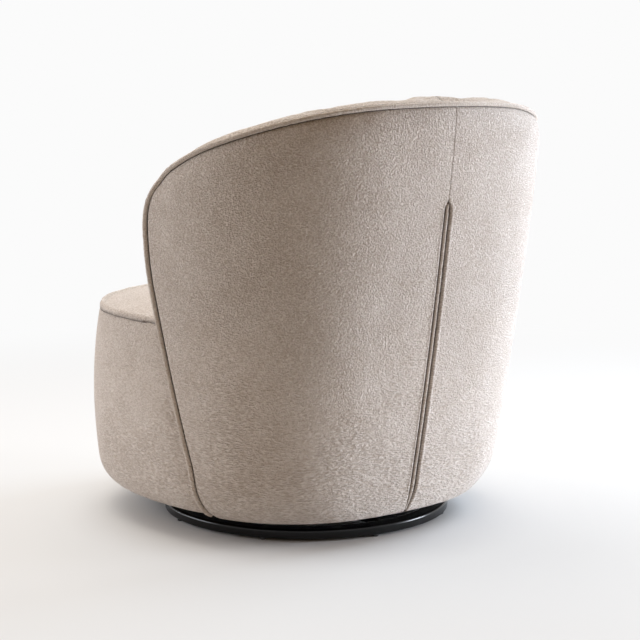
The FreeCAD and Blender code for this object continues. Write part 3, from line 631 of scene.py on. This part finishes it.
rim_soften = 9.0
rim_soften_reach = 48.0
rim_soften_middle = -0.35
rim_soften_share = 0.35
edge_roll_rim = 7.0, 4.5
edge_roll_arm = 12.0, 8.0
arm_from_rim = 20.0, 60.0
placket_reach = 7.0
placket_span = 84.0, 578.0
placket_taper = 11.0
placket_foot = 20.0
placket_foot_share = 0.35
placket_roll = 2.0, 5.4
seam_reach = 0.25
seam_roll_plain = 1.3, 0.9
# Strength and reach of a painted shade that darkens the panels just below the rim
rim_shade = 0.16
rim_shade_reach = 24.0

# Height and size of the cloth's unevenness, and how far it reaches where it comes from a seam
panel_swell = 0.9, 170.0
panel_ripple = 0.5, 70.0
hem_gather = 1.3, 24.0, 16.0
rim_gather = 0.45, 13.0, 9.0
seam_gather = 0.3, 11.0, 8.0

panel_step = 5.0
under_round = 5.0
under_reach = 14.0
under_height = 38.6
under_lining = 2.0
panel_depth = 6.0
edge_steps = 14.0 * (1 - np.cos(np.linspace(0, np.pi / 2, 11)))
seam_steps = [0, 0.05, 0.2, 0.45, 0.8, 1.2, 1.7, 2.2, 2.8, 3.5, 4.3, 5.2, 6.5, 8.0, 10.0, 13.0]
hem_steps = [0, 2.0, 4.5, 8.0, 12.0]

foot_height = under_height + under_round
corner_share, corner_height = edge_corner()
foot_share = arm_edge([foot_height])[0]
panel_width = 600.0
panel_height = 640.0
across = spaced(panel_width, seam_steps, edge_steps, panel_step)
upward = spaced(panel_height, hem_steps, edge_steps, panel_step)
front_heights = foot_height + upward * (corner_height - foot_height)
front_shares = arm_edge(front_heights)
top_shares = across * corner_share
top_heights = rim_edge(top_shares)
u, v = across[None, :], upward[:, None]
share = (
    (1 - v) * (across * foot_share)[None, :] + v * top_shares[None, :] + u * front_shares[:, None]
    - u * ((1 - v) * foot_share + v * corner_share)
)
height = (
    (1 - v) * foot_height + v * top_heights[None, :] + u * front_heights[:, None]
    - u * ((1 - v) * foot_height + v * corner_height)
)


def placket_open(height):
    """Share of its full width that the placket has at a height: pointed above, narrowing below."""
    low, high = placket_span
    narrowing = np.clip((height - placket_foot) / (low - placket_foot), placket_foot_share, 1)
    return np.clip((high - height) / placket_taper, 0, 1) ** 0.5 * narrowing


def rim_softness(share, distance):
    """How far the top of the back is rounded in at a distance below the rim, least at its middle."""
    part = np.clip(share / rim_soften_share, 0, 1)
    part = rim_soften_middle + (1 - rim_soften_middle) * part * part * (3 - 2 * part)
    return rim_soften * part * np.clip(1 - distance / rim_soften_reach, 0, 1) ** 2


length = on_shell(share, height)[2]
opening = placket_open(height)
reach = seam_reach + (placket_reach - seam_reach) * opening
share = reach / length + share * (1 - reach / length)
smooth = on_shell(share, height)[0]
to_arm, _ = edge_distance(smooth, smooth[:, -1])
to_rim, _ = edge_distance(smooth, smooth[-1])
to_edge = np.minimum(to_arm, to_rim)
to_edge[:, -1] = to_edge[-1, :] = 0
to_seam = np.linalg.norm(np.diff(smooth, axis=1), axis=2).cumsum(axis=1)
to_seam = np.concatenate([np.zeros((len(smooth), 1)), to_seam], axis=1)

on_arm = np.clip((to_rim - arm_from_rim[0]) / arm_from_rim[1], 0, 1)
edge_roll = rolled(to_edge, *edge_roll_rim) * (1 - on_arm) + rolled(to_edge, *edge_roll_arm) * on_arm
plain_seam = rolled(to_seam, *seam_roll_plain) + 0.25 * np.exp(-((to_seam / 6) ** 2))
placket = rolled(to_seam, *placket_roll) - 1.2 * np.exp(-(((to_seam - 3.6) / 2.4) ** 2))
seam_roll = plain_seam * (1 - opening) + placket * opening
puff = panel_swell[0] * waver(smooth, panel_swell[1], 1)
puff = puff + panel_ripple[0] * waver(smooth * (1, 1, 0.6), panel_ripple[1], 2)
hem_pucker = gathers(smooth * (1, 1, 0.25), hem_gather, 3, height - foot_height)
rim_pucker = gathers(smooth, rim_gather, 4, to_edge)
seam_pucker = gathers(smooth, seam_gather, 5, to_seam)
calm = np.clip(to_edge / 25, 0, 1) * np.clip(to_seam / 40, 0, 1)
inset = edge_roll + seam_roll - puff * calm - hem_pucker - rim_pucker - seam_pucker
inset += rim_softness(share, to_rim)
# Painted shade along the rim and arm edges, in the seam and placket, and faintly below the rim
fold_shade = np.clip(1 - to_edge / (2.2 + 1.6 * on_arm), 0, 1) ** 0.8 + np.clip(seam_roll / 5.0, 0, 1) ** 1.5
fold_shade = np.clip(fold_shade + rim_shade * np.exp(-to_rim / rim_shade_reach), 0, 1)

turns = np.linspace(0, np.pi / 2, 6)[1:]
under_insets = [under_round * (1 - math.cos(turn)) for turn in turns] + [under_reach]
under_heights = [foot_height - under_round * math.sin(turn) for turn in turns] + [under_height]
rows = range(len(under_insets))
under, under_inner = [], []
for row in reversed(rows):
    level = np.full_like(share[0], under_heights[row])
    tuck = inset[0] + under_insets[row]
    under.append(on_shell(share[0], level, tuck)[0])
    under_inner.append(on_shell(share[0], level + under_lining, np.maximum(panel_depth, tuck))[0])
outer = np.concatenate([under, on_shell(share, height, inset)[0]])
inner = np.concatenate([under_inner, on_shell(share, height, np.maximum(panel_depth, inset + 1))[0]])
fold_shade = np.concatenate([np.repeat(fold_shade[:1], len(under), axis=0), fold_shade])

for side, turned in (("left", 1), ("right", -1)):
    flip = np.array([turned, 1, 1])
    panel = grid_piece(f"back_panel_{side}", outer * flip, inner * flip, fold_shade)
    panel.data.materials.append(greige_chenille)
    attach(panel, "chair")
    if side == "left":
        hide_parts("outer_cover_left", "outer_wadding")
    else:
        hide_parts("outer_cover_right")


# Piping
# A cord covered in a finer cut of the same greige cloth, sewn in between the outer panels and the
# inside, along the rim and down both arm fronts. Its cover puckers a little every few stitches.
piping_radius = 4.0
piping_beyond = 4.0
piping_inset = 1.2
piping_foot = 47.0
piping_tuck = 6.0, 3.0
piping_flange = [(-7.0, 9.5), (-2.0, 8.5), (3.0, 5.5), (8.0, 8.0)]
piping_flange_depth = 1.6
pucker_spacing = 15.0
pucker_depth = 0.09
piping_ring_spacing = 2.0
piping_sides = 14


def side_path(spread, inset, foot, soften=1.0):
    """Points along the left arm front and the rim to the back's middle, moved out by a spread."""
    corner_share, corner_height = edge_corner(spread)
    heights = np.linspace(foot, corner_height, 180)[:-1]
    shares = np.linspace(corner_share, 0, 160)
    tucked = piping_tuck[1] * np.clip(1 - (heights - foot) / piping_tuck[0], 0, 1) ** 2
    front_inset = inset + tucked + soften * rim_softness(corner_share, corner_height - heights)
    front = on_shell(arm_edge(heights, spread), heights, front_inset)[0]
    rim = on_shell(shares, rim_edge(shares, spread), inset + soften * rim_softness(shares, 0 * shares))[0]
    return np.concatenate([front, rim])


def line_mesh(name, points):
    """Mesh of a single line of points, given in millimetres."""
    mesh = bpy.data.meshes.new(name)
    mesh.from_pydata((np.array(points) * MM).tolist(), [(i, i + 1) for i in range(len(points) - 1)], [])
    return mesh


def node_tree(name, inputs):
    """Geometry node tree with named inputs for its sizes, and its group input node."""
    tree = bpy.data.node_groups.new(name, "GeometryNodeTree")
    tree.interface.new_socket("Geometry", in_out="INPUT", socket_type="NodeSocketGeometry")
    for label, value in inputs.items():
        kind = "NodeSocketInt" if isinstance(value, int) else "NodeSocketFloat"
        tree.interface.new_socket(label, in_out="INPUT", socket_type=kind)
    tree.interface.new_socket("Geometry", in_out="OUTPUT", socket_type="NodeSocketGeometry")
    return tree, add_node(tree, "NodeGroupInput").outputs


def end_tree(tree, geometry, material):
    """Ends a tree in real, smooth geometry with its material."""
    real = add_node(tree, "GeometryNodeRealizeInstances", {"Geometry": geometry}).outputs[0]
    smooth = add_node(tree, "GeometryNodeSetShadeSmooth", {"Geometry": real}).outputs[0]
    made = add_node(tree, "GeometryNodeSetMaterial", {"Geometry": smooth, "Material": material}).outputs[0]
    add_node(tree, "NodeGroupOutput", {"Geometry": made})


def made_by(tree, name, mesh, inputs):
    """Plain mesh object that a geometry node tree makes from a starting mesh."""
    piece = bpy.data.objects.new(name, mesh)
    bpy.context.scene.collection.objects.link(piece)
    modifier = piece.modifiers.new("nodes", "NODES")
    modifier.node_group = tree
    for socket in tree.interface.items_tree:
        if socket.in_out == "INPUT" and socket.name in inputs:
            modifier[socket.identifier] = inputs[socket.name]
    shown = piece.evaluated_get(bpy.context.evaluated_depsgraph_get())
    made = bpy.data.meshes.new_from_object(shown)
    piece.modifiers.clear()
    piece.data = made
    made.name = name
    return piece


# A finer, tighter cut of the cloth, drawn smooth over the cord, painted paler than the panels as a highlight
highlit_piping_cloth = chenille("greige piping cloth", "#C9B8A7", "#EFE5DB", stroke_mm=2.2, contrast=0.8)
piping_inputs = {
    "Cord Radius": piping_radius * MM,
    "Pucker Spacing": pucker_spacing * MM,
    "Pucker Depth": pucker_depth,
    "Ring Spacing": piping_ring_spacing * MM,
    "Seed": 3.0,
}
tree, given = node_tree("piping", piping_inputs)
line = add_node(tree, "GeometryNodeMeshToCurve", {"Mesh": given["Geometry"]}).outputs[0]
line = {"Curve": line, "Length": given["Ring Spacing"]}
line = add_node(tree, "GeometryNodeResampleCurve", line, mode="LENGTH").outputs[0]
walked = {0: add_node(tree, "GeometryNodeSplineParameter").outputs["Length"], 1: given["Pucker Spacing"]}
walked = {0: add_node(tree, "ShaderNodeMath", walked, operation="DIVIDE").outputs[0], 1: given["Seed"]}
walked = add_node(tree, "ShaderNodeMath", walked, operation="ADD").outputs[0]
swell = {"W": walked, "Scale": 2.0, "Detail": 1.0}
swell = {0: add_node(tree, "ShaderNodeTexNoise", swell, noise_dimensions="1D").outputs["Fac"], 1: 0.5}
swell = {0: add_node(tree, "ShaderNodeMath", swell, operation="SUBTRACT").outputs[0]}
swell[1] = given["Pucker Depth"]
swell = {0: add_node(tree, "ShaderNodeMath", swell, operation="MULTIPLY").outputs[0], 1: 3.0, 2: 1.0}
swell = {0: add_node(tree, "ShaderNodeMath", swell, operation="MULTIPLY_ADD").outputs[0]}
swell[1] = given["Cord Radius"]
radius = add_node(tree, "ShaderNodeMath", swell, operation="MULTIPLY").outputs[0]
round_section = {"Resolution": piping_sides, "Radius": 1.0}
round_section = add_node(tree, "GeometryNodeCurvePrimitiveCircle", round_section).outputs[0]
tube = {"Curve": line, "Profile Curve": round_section, "Scale": radius, "Fill Caps": True}
end_tree(tree, add_node(tree, "GeometryNodeCurveToMesh", tube).outputs[0], highlit_piping_cloth)

half = side_path(piping_beyond, piping_inset, piping_foot)
whole = np.concatenate([half, half[-2::-1] * (-1, 1, 1)])
piping = made_by(tree, "rim_piping", line_mesh("rim_piping", whole), piping_inputs)
flange = np.stack([side_path(spread, inset, piping_foot + 2) for spread, inset in piping_flange], axis=1)
flange = np.concatenate([flange, flange[-2::-1] * (-1, 1, 1)])
flange_facing = np.concatenate([flange[:, :, :2], 0 * flange[:, :, 2:]], axis=2)
flange_facing /= np.linalg.norm(flange_facing, axis=2)[:, :, None]
flange_inner = flange - flange_facing * piping_flange_depth
# Painted shade: the flange is darkened all over, as it lies in shadow behind the cord
flange = grid_piece("piping_flange", flange, flange_inner, np.ones(flange.shape[:2]))
sewn = bmesh.new()
sewn.from_mesh(piping.data)
sewn.from_mesh(flange.data)
sewn.to_mesh(piping.data)
sewn.free()
bpy.data.objects.remove(flange)
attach(piping, "chair")
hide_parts("welt")


# Zip in the back seam
# A long closed zip of nylon coil, sewn in under the two folded edges of the panels so that only
# the rounded folds of its tape show between them, with its small slider at the foot.
tape_inset = 6.2
ridge_half_width = 2.7
ridge_flat = 1.5
ridge_inset = 0.2
slit_half_width = 0.22
tape_thickness = 1.2
tape_columns = [
    -10.0, -7.5, -5.4, -4.0, -3.2, -2.85, -2.7, -2.6, -2.4, -2.1, -1.8, -1.5, -1.1, -0.7, -0.4, -0.22, 0.0,
]

tape_across = np.array(tape_columns + [-x for x in tape_columns[-2::-1]])
tape_heights = np.linspace(placket_span[0] - 40, placket_span[1] - 4, 170)
width_share = placket_open(tape_heights)[:, None]
distance = np.abs(tape_across)[None, :]
ridge = np.clip((distance - ridge_flat) / (ridge_half_width - ridge_flat), 0, 1)
tape_profile = ridge_inset + (tape_inset - ridge_inset) * (1 - np.sqrt(1 - ridge**2)) ** 0.6
tape_profile = tape_profile + 0.7 * np.clip(1 - distance / slit_half_width, 0, 1)
x = tape_across[None, :] * (0.35 + 0.65 * width_share)
z = tape_heights[:, None] + 0 * x
length = on_shell(0 * x, z)[2]
sink = 1.5 * (1 - width_share) + 0.15 * np.sin(z / 9)
mirror = np.stack([np.sign(x), 1 + 0 * x, 1 + 0 * x], axis=-1)
tape_outer = on_shell(np.abs(x) / length, z, tape_profile + sink)[0] * mirror
tape_inner = on_shell(np.abs(x) / length, z, tape_profile + sink + tape_thickness)[0] * mirror
# Painted shade on the tape's flanks down in the grooves, and a little in the slit at its middle
tape_fold_shade = np.clip((distance - 2.1) / 0.5, 0, 1) + np.clip(1 - distance / 0.25, 0, 1) * 0.3 + 0 * z
tape = grid_piece("zip_tape_folds", tape_outer, tape_inner, tape_fold_shade)
# The tape folds wear the piping's paler cloth, its colour painted light on the ridge as a highlight
tape.data.materials.append(highlit_piping_cloth)
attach(tape, "chair")
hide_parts("zip_tape", "zip_chain")

# The slider's smooth moulded skin catches a small highlight
zip_nylon = grained(
    "moulded zip nylon", "#8C7B69", "#9A8976", grain=(1.5, 2.0), rough=(0.34, 0.46),
    relief=(1.5, 2.0, 0.04, 0.3),
)
finish_nodes(zip_nylon, "zip_nylon", "zip_slider")


# Front cover
# One panel of the same chenille over foam, drawn round the front and sides of the seat drum from
# one arm front to the other, and sewn to the seat top along the seat line.
drum_centre = -50.0
drum_size = 354.9, 2.5e-4, 325.0
drum_front = 384.0, 1.1e-3, 150.0
drum_front_shape = 1.4, 0.83
drum_back_reach = 330.0
drum_back_shape = 1.74, 0.7
drum_side_hem = 98.0, 62.0
drum_front_hem = 100.0, 150.0
drum_top = 376.0
seam_sag = 4.5
seam_wave = 1.6
seam_wave_length = 45.0


def on_drum(share, height, inset=0.0):
    """Point of the drum's left half, the share counted from the front's middle to its side as 1."""
    half_width, side_bulge, widest = drum_size
    front, front_bulge, front_widest = drum_front
    side = -side_bulge * (height - widest) ** 2 - drawn_in(drum_side_hem[0] - height, drum_side_hem[1])
    ahead = front + drum_centre - front_bulge * (height - front_widest) ** 2
    ahead = ahead - drawn_in(drum_front_hem[0] - height, drum_front_hem[1])
    behind = drum_back_reach - drum_centre + side
    x, y, turn, length = quarter_walk(half_width + side, ahead, drum_front_shape, np.minimum(share, 1))
    back_length = quarter_walk(half_width + side, behind, drum_back_shape, share * 0)[3]
    back_share = 1 - np.maximum(share - 1, 0) * length / back_length
    back_x, back_y, back_turn, _ = quarter_walk(half_width + side, behind, drum_back_shape, back_share)
    front_part = share <= 1
    across = np.where(front_part, x - np.sin(turn) * inset, back_x - np.sin(back_turn) * inset)
    along = np.where(front_part, -y + np.cos(turn) * inset, back_y - np.cos(back_turn) * inset)
    return np.stack([across, drum_centre + along, height + 0 * across], axis=-1)


def drum_edge(heights, spread):
    """Shares round the drum at which it meets the arm front, moved out by a spread."""
    line = (side_line + side_normal * spread)[:rim_start]
    depths = np.interp(heights, line[:, 1], line[:, 0])
    shares = np.linspace(0.8, 1.7, 241)
    return np.array([
        np.interp(y, on_drum(shares, np.full_like(shares, z))[:, 1], shares) for y, z in zip(depths, heights)
    ])


drum_under_height = 45.6
cover_beyond = 7.0
cover_depth = 8.0
cover_half_length = 640.0
side_roll = 5.0, 3.5
side_sink = 50.0, 6.5
seat_seam_roll = 6.5, 4.0
side_hem_shell = [(3.0, 10.0), (6.5, 10.0)]
side_hem_drum = [(10.0, 11.0), (14.0, 11.5), (20.0, 12.0)]
side_hem_top = 366.0
# Painted shade on the side hems, where they lie in shadow behind the piping
side_hem_shade = 0.4
cover_swell = 1.2, 150.0
cover_ripple = 0.6, 60.0
side_gather = 1.1, 17.0, 22.0
top_gather = 0.9, 17.0, 12.0
cover_step = 6.0
seam_rows = [0, 0.1, 0.4, 0.9, 1.6, 2.5, 3.6, 5.0, 6.5, 9.0, 13.0]

sideways = 1 - spaced(cover_half_length, seam_rows, [0.0], cover_step)
sideways = np.concatenate([-sideways, sideways[-2::-1]])
drum_foot = drum_under_height + under_round
cover_height = drum_top - drum_foot
heights = drum_foot + spaced(cover_height, hem_steps, seam_rows, cover_step) * cover_height
ends = drum_edge(heights, cover_beyond)
u = np.abs(sideways)[None, :] * ends[:, None]
height = heights[:, None] + 0 * u
mirror = np.stack([np.sign(sideways)[None, :] + 0 * u, 1 + 0 * u, 1 + 0 * u], axis=-1)


def seam_height(points):
    """Height of the wavy seat seam over places in plan."""
    return drum_top - seam_sag + seam_wave * waver(points * (1, 1, 0), seam_wave_length, 16)


seat_seam = seam_height(on_drum(u[-1], height[-1]) * mirror[-1])
height = drum_foot + (height - drum_foot) * (seat_seam - drum_foot)[None, :] / cover_height
smooth = on_drum(u, height) * mirror
walk = np.linalg.norm(np.diff(smooth, axis=1), axis=2).cumsum(axis=1)
walk = np.concatenate([np.zeros((len(walk), 1)), walk], axis=1)
to_side = np.minimum(walk, walk[:, -1:] - walk)
to_top = seat_seam[None, :] - height
sink = side_sink[1] * np.clip(1 - to_side / side_sink[0], 0, 1) ** 2 * np.clip(to_top / 30, 0.3, 1)
inset = rolled(to_side, *side_roll) + rolled(to_top, *seat_seam_roll) + sink
calm = np.clip(to_side / 40, 0, 1) * np.clip(to_top / 25, 0, 1)
puff = cover_swell[0] * waver(smooth, cover_swell[1], 11)
puff = puff + cover_ripple[0] * waver(smooth * (1, 1, 0.5), cover_ripple[1], 12)
side_tension = gathers(smooth * (1, 1, 0.18), side_gather, 13, to_side)
top_pucker = gathers(smooth * (1, 1, 0.5), top_gather, 14, to_top)
hem_pucker = gathers(smooth * (1, 1, 0.25), hem_gather, 15, height - drum_foot)
edge_calm = np.clip(to_side / 3, 0, 1)
inset = inset - puff * calm - (side_tension + top_pucker + hem_pucker) * edge_calm
# Painted shade along the side edges and under the seat seam
fold_shade = np.clip(rolled(to_side, *side_roll) / side_roll[1], 0, 1) ** 2
fold_shade = np.clip(fold_shade + np.clip(rolled(to_top, *seat_seam_roll) / seat_seam_roll[1], 0, 1) ** 2, 0, 1)
drum_rise = drum_under_height - under_height
under, under_inner = [], []
for row in reversed(rows):
    level = np.full_like(u[0], under_heights[row] + drum_rise)
    tuck = inset[0] + under_insets[row]
    under.append(on_drum(u[0], level, tuck) * mirror[0])
    under_inner.append(on_drum(u[0], level + under_lining, np.maximum(cover_depth, tuck)) * mirror[0])
outer = np.concatenate([under, on_drum(u, height, inset) * mirror])
inner = on_drum(u, height, np.maximum(cover_depth + sink, inset + 1)) * mirror
inner = np.concatenate([under_inner, inner])
fold_shade = np.concatenate([np.repeat(fold_shade[:1], len(under), axis=0), fold_shade])
front_cover = grid_piece("front_cover_panel", outer, inner, fold_shade)

# Its side hems run on behind the piping, so that no gap shows between the drum and the arm fronts
heights = np.linspace(drum_foot, side_hem_top, 90)
side_hem_left = np.stack(
    [on_shell(arm_edge(heights, spread), heights, inset)[0] for spread, inset in side_hem_shell]
    + [on_drum(drum_edge(heights, spread), heights, inset) for spread, inset in side_hem_drum],
    axis=1,
)
sewn = bmesh.new()
sewn.from_mesh(front_cover.data)
for side, turned in (("left", 1), ("right", -1)):
    strip = side_hem_left * (turned, 1, 1)
    facing = strip * (1, 1, 0) / np.hypot(strip[:, :, 0], strip[:, :, 1])[:, :, None]
    strip_inner = strip - facing * piping_flange_depth
    strip = grid_piece(f"side_hem_{side}", strip, strip_inner, np.full(strip.shape[:2], side_hem_shade))
    sewn.from_mesh(strip.data)
    bpy.data.objects.remove(strip)
sewn.to_mesh(front_cover.data)
sewn.free()
front_cover.data.materials.append(greige_chenille)
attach(front_cover, "chair")
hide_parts("front_cover", "front_foam")


# Seat top
# A crowned pad of foam under chenille that fills the drum from the seat line up, with a low
# rounded edge that puckers where it is sewn to the front cover.
def node_copy(name, *sources):
    """Closed copy of one or more nodes' solids, with their loose triangles joined up."""
    gathered = bmesh.new()
    for source in sources:
        gathered.from_mesh(nodes[source].data)
    bmesh.ops.remove_doubles(gathered, verts=gathered.verts, dist=0.02 * MM)
    mesh = bpy.data.meshes.new(name)
    gathered.to_mesh(mesh)
    gathered.free()
    piece = bpy.data.objects.new(name, mesh)
    bpy.context.scene.collection.objects.link(piece)
    return piece


def bake_modifiers(piece):
    """Turns what a piece's modifiers show into its own plain mesh."""
    shown = piece.evaluated_get(bpy.context.evaluated_depsgraph_get())
    made = bpy.data.meshes.new_from_object(shown)
    piece.modifiers.clear()
    piece.data = made


def places(mesh):
    """Points of a mesh in millimetres."""
    flat = np.empty(len(mesh.vertices) * 3, np.float32)
    mesh.vertices.foreach_get("co", flat)
    return flat.reshape(-1, 3).astype(float) / MM


def outward(mesh):
    """Normals of a mesh at its points."""
    flat = np.empty(len(mesh.vertices) * 3, np.float32)
    mesh.vertex_normals.foreach_get("vector", flat)
    return flat.reshape(-1, 3).astype(float)


def move_to(mesh, points):
    """Moves a mesh's points to places in millimetres."""
    mesh.vertices.foreach_set("co", (points * MM).astype(np.float32).ravel())
    mesh.update()


def remeshed(piece, voxel_mm, smoothing, restore_mm):
    """Even mesh of a piece, its edges softened, and moved out again by what that took away."""
    remesh = piece.modifiers.new("remesh", "REMESH")
    remesh.mode = "VOXEL"
    remesh.voxel_size = voxel_mm * MM
    soften = piece.modifiers.new("soften", "SMOOTH")
    soften.factor = 0.5
    soften.iterations = smoothing
    bake_modifiers(piece)
    move_to(piece.data, places(piece.data) + outward(piece.data) * restore_mm)


def inflated(piece, pressure, frames, cap_mm):
    """Swells a piece as cloth under pressure, no point moving further than its cap allows."""
    start = places(piece.data)
    cloth = piece.modifiers.new("cloth", "CLOTH")
    cloth.settings.quality = 4
    cloth.settings.mass = 0.3
    cloth.settings.use_pressure = True
    cloth.settings.uniform_pressure_force = pressure
    cloth.settings.tension_stiffness = 12
    cloth.settings.compression_stiffness = 12
    cloth.settings.shear_stiffness = 4
    cloth.settings.bending_stiffness = 1.5
    cloth.settings.effector_weights.gravity = 0
    cloth.point_cache.frame_start = 1
    cloth.point_cache.frame_end = frames
    scene = bpy.context.scene
    for frame_number in range(1, frames + 1):
        scene.frame_set(frame_number)
    bake_modifiers(piece)
    scene.frame_set(1)
    moved = places(piece.data) - start
    far = np.linalg.norm(moved, axis=1)
    limit = np.minimum(1, cap_mm / np.maximum(far, 1e-6))
    move_to(piece.data, start + moved * limit[:, None])


def subdivided(piece):
    """Smooth mesh of a piece with each face in four."""
    finer = piece.modifiers.new("finer", "SUBSURF")
    finer.levels = finer.render_levels = 1
    bake_modifiers(piece)


def add_fold_shade(mesh, fold_shades):
    """Stores how deep each point lies in a fold, as the painted shade that the cloth takes there."""
    values = mesh.attributes.new("fold_shade", "FLOAT", "POINT")
    values.data.foreach_set("value", np.clip(fold_shades, 0, 1).astype(np.float32))


seat_voxel = 4.0
seat_cap = 0.8
seat_pressure = 2.0
cloth_frames = 20
seat_cover_mm = 2.0
seat_edge_dip = 6.5
seat_swell = 0.6, 90.0
seat_gather = 0.8, 20.0
seat_wrinkle = 0.5, 11.0

seat = node_copy("seat_top", "seat_topper")
remeshed(seat, seat_voxel, 3, seat_cover_mm)
high = places(seat.data)[:, 2]
inflated(seat, seat_pressure, cloth_frames, seat_cap * np.clip((high - drum_top) / 20, 0, 1) + 0.2)
points, normals = places(seat.data), outward(seat.data)
above = points[:, 2] - drum_top
rim_share = np.clip(1 - np.abs(above - 6) / 12, 0, 1)
pucker = seat_gather[0] * waver(points * (1, 1, 0.6), seat_gather[1], 21)
pucker = pucker + seat_wrinkle[0] * waver(points, seat_wrinkle[1], 22)
puff = seat_swell[0] * waver(points, seat_swell[1], 23)
moved = points + normals * (pucker * rim_share + puff)[:, None]
moved[:, 2] += (seam_height(points) - drum_top) * np.clip(1 - above / 14, 0, 1)
round_drum = on_drum(u[-1], height[-1]) * mirror[-1]
from_edge, _ = edge_distance(points * (1, 1, 0), round_drum * (1, 1, 0))
dipped = np.clip((from_edge - 4) / 9, 0, 1) * (1 - np.clip((from_edge - 22) / 66, 0, 1))
dipped = dipped * np.clip((above - 4) / 6, 0, 1)
moved[:, 2] -= seat_edge_dip * dipped
move_to(seat.data, moved)
# Painted shade low on the seat top's edge, just above the seam
add_fold_shade(seat.data, np.clip(1 - above / 3.0, 0, 1) ** 1.5)
seat.data.materials.append(greige_chenille)
seat.data.shade_smooth()
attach(seat, "chair")
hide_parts("seat_cover", "seat_topper")


# Inside of the tub
# Thick foam under two panels of chenille, wrapped from one arm front round the back to the other
# and rolled over the rim to the piping, with a seam down its middle that draws it in.
pad_voxel = 6.0
pad_pressure = 4.0
pad_cap = 9.0
pad_cover_mm = 2.0
seam_planes = [0.0, 0.9, 2.0, 3.6, 6.0, 9.5]
inner_seam_depth = 3.4
inner_seam_gather = 0.6, 16.0, 14.0
inner_rim_gather = 0.3, 15.0, 9.0
inner_swell = 1.3, 140.0
inner_ripple = 0.6, 60.0
crest_places = -360, -240, -180, -90, 0, 60, 120, 200, 240, 360
crest_rises = 0.0, 4.5, 5.6, 6.0, 3.0, 5.4, 1.4, -1.0, 0.5, 0.0
shoulder_places = 190, 260, 295, 350
shoulder_rises = 0.0, 5.5, 10.0, 11.0
shoulder_heights = 540.0, 650.0
shoulder_reach = 4.0, 24.0, 45.0, 120.0

tub = node_copy("tub_inside", "inner_back_foam")
remeshed(tub, pad_voxel, 8, pad_cover_mm + 0.6)
points = places(tub.data)
hard_half = side_path(piping_beyond, piping_inset, piping_foot, soften=0.0)
left_half = np.abs(points[:, 0])[:, None] * (1, 0, 0) + points * (0, 1, 1)
from_hard, nearest = edge_distance(left_half, hard_half)
near = np.clip(1 - (from_hard - 10) / 55, 0, 1)
inward = np.linalg.norm(hard_half - half, axis=1)[nearest] * near * near * (3 - 2 * near)
points[:, :2] *= (1 - inward / np.hypot(points[:, 0], points[:, 1]))[:, None]
move_to(tub.data, points)
from_welt, _ = edge_distance(points, whole)
room = np.clip((from_welt - 6) / 30, 0, 1) * np.clip((points[:, 2] - 395) / 90, 0.05, 1)
inflated(tub, pad_pressure, cloth_frames, pad_cap * room + 0.8)
subdivided(tub)
cut = bmesh.new()
cut.from_mesh(tub.data)
for plane in [-x for x in seam_planes[:0:-1]] + seam_planes:
    reach = [face for face in cut.faces if abs(face.calc_center_median().x) < 0.03]
    rest = {v for face in reach for v in face.verts} | {e for face in reach for e in face.edges}
    bmesh.ops.bisect_plane(cut, geom=list(rest) + reach, plane_co=(plane * MM, 0, 0), plane_no=(1, 0, 0))
cut.to_mesh(tub.data)
cut.free()
points, normals = places(tub.data), outward(tub.data)
beside_seam = np.abs(points[:, 0])
on_crest = np.clip((points[:, 2] - 655) / 75, 0, 1)
on_crest = on_crest * on_crest * (3 - 2 * on_crest)
drawn = inner_seam_depth * np.exp(-((beside_seam / 2.2) ** 2)) + 1.2 * np.exp(-((beside_seam / 14) ** 2))
crest_rise = np.interp(points[:, 0], crest_places, crest_rises)
drawn = drawn * (1 - 0.9 * on_crest) - (crest_rise + 1.0 * np.exp(-((beside_seam / 10) ** 2))) * on_crest
drawn -= gathers(points * (0.5, 1, 1), inner_seam_gather, 31, beside_seam)
puff = inner_swell[0] * waver(points, inner_swell[1], 32)
puff = puff + inner_ripple[0] * waver(points, inner_ripple[1], 33)
from_welt, _ = edge_distance(points, whole)
shoulder = np.sin(np.clip((from_welt - shoulder_reach[0]) / shoulder_reach[1], 0, 1) * np.pi / 2)
past = np.clip((from_welt - shoulder_reach[2]) / (shoulder_reach[3] - shoulder_reach[2]), 0, 1)
shoulder *= 1 - past * past * (3 - 2 * past)
low, high = shoulder_heights
shoulder_rise = np.interp(beside_seam, shoulder_places, shoulder_rises)
shoulder *= shoulder_rise * np.clip((points[:, 2] - low) / (high - low), 0, 1)
drawn -= shoulder
pucker = gathers(points, inner_rim_gather, 34, np.maximum(from_welt - 4, 0))
calm = np.clip((from_welt - 40) / 80, 0, 1)
move_to(tub.data, points + normals * (puff * calm + pucker - drawn)[:, None])
# Painted shade down the middle seam and along the piping
fold_shade = 0.8 * np.exp(-((beside_seam / 1.3) ** 2))
add_fold_shade(tub.data, fold_shade + np.exp(-np.maximum(from_welt - 3.4, 0) / 1.2))
tub.data.materials.append(greige_chenille)
tub.data.shade_smooth()
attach(tub, "chair")
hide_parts("inner_cover_left", "inner_cover_right", "inner_back_foam")
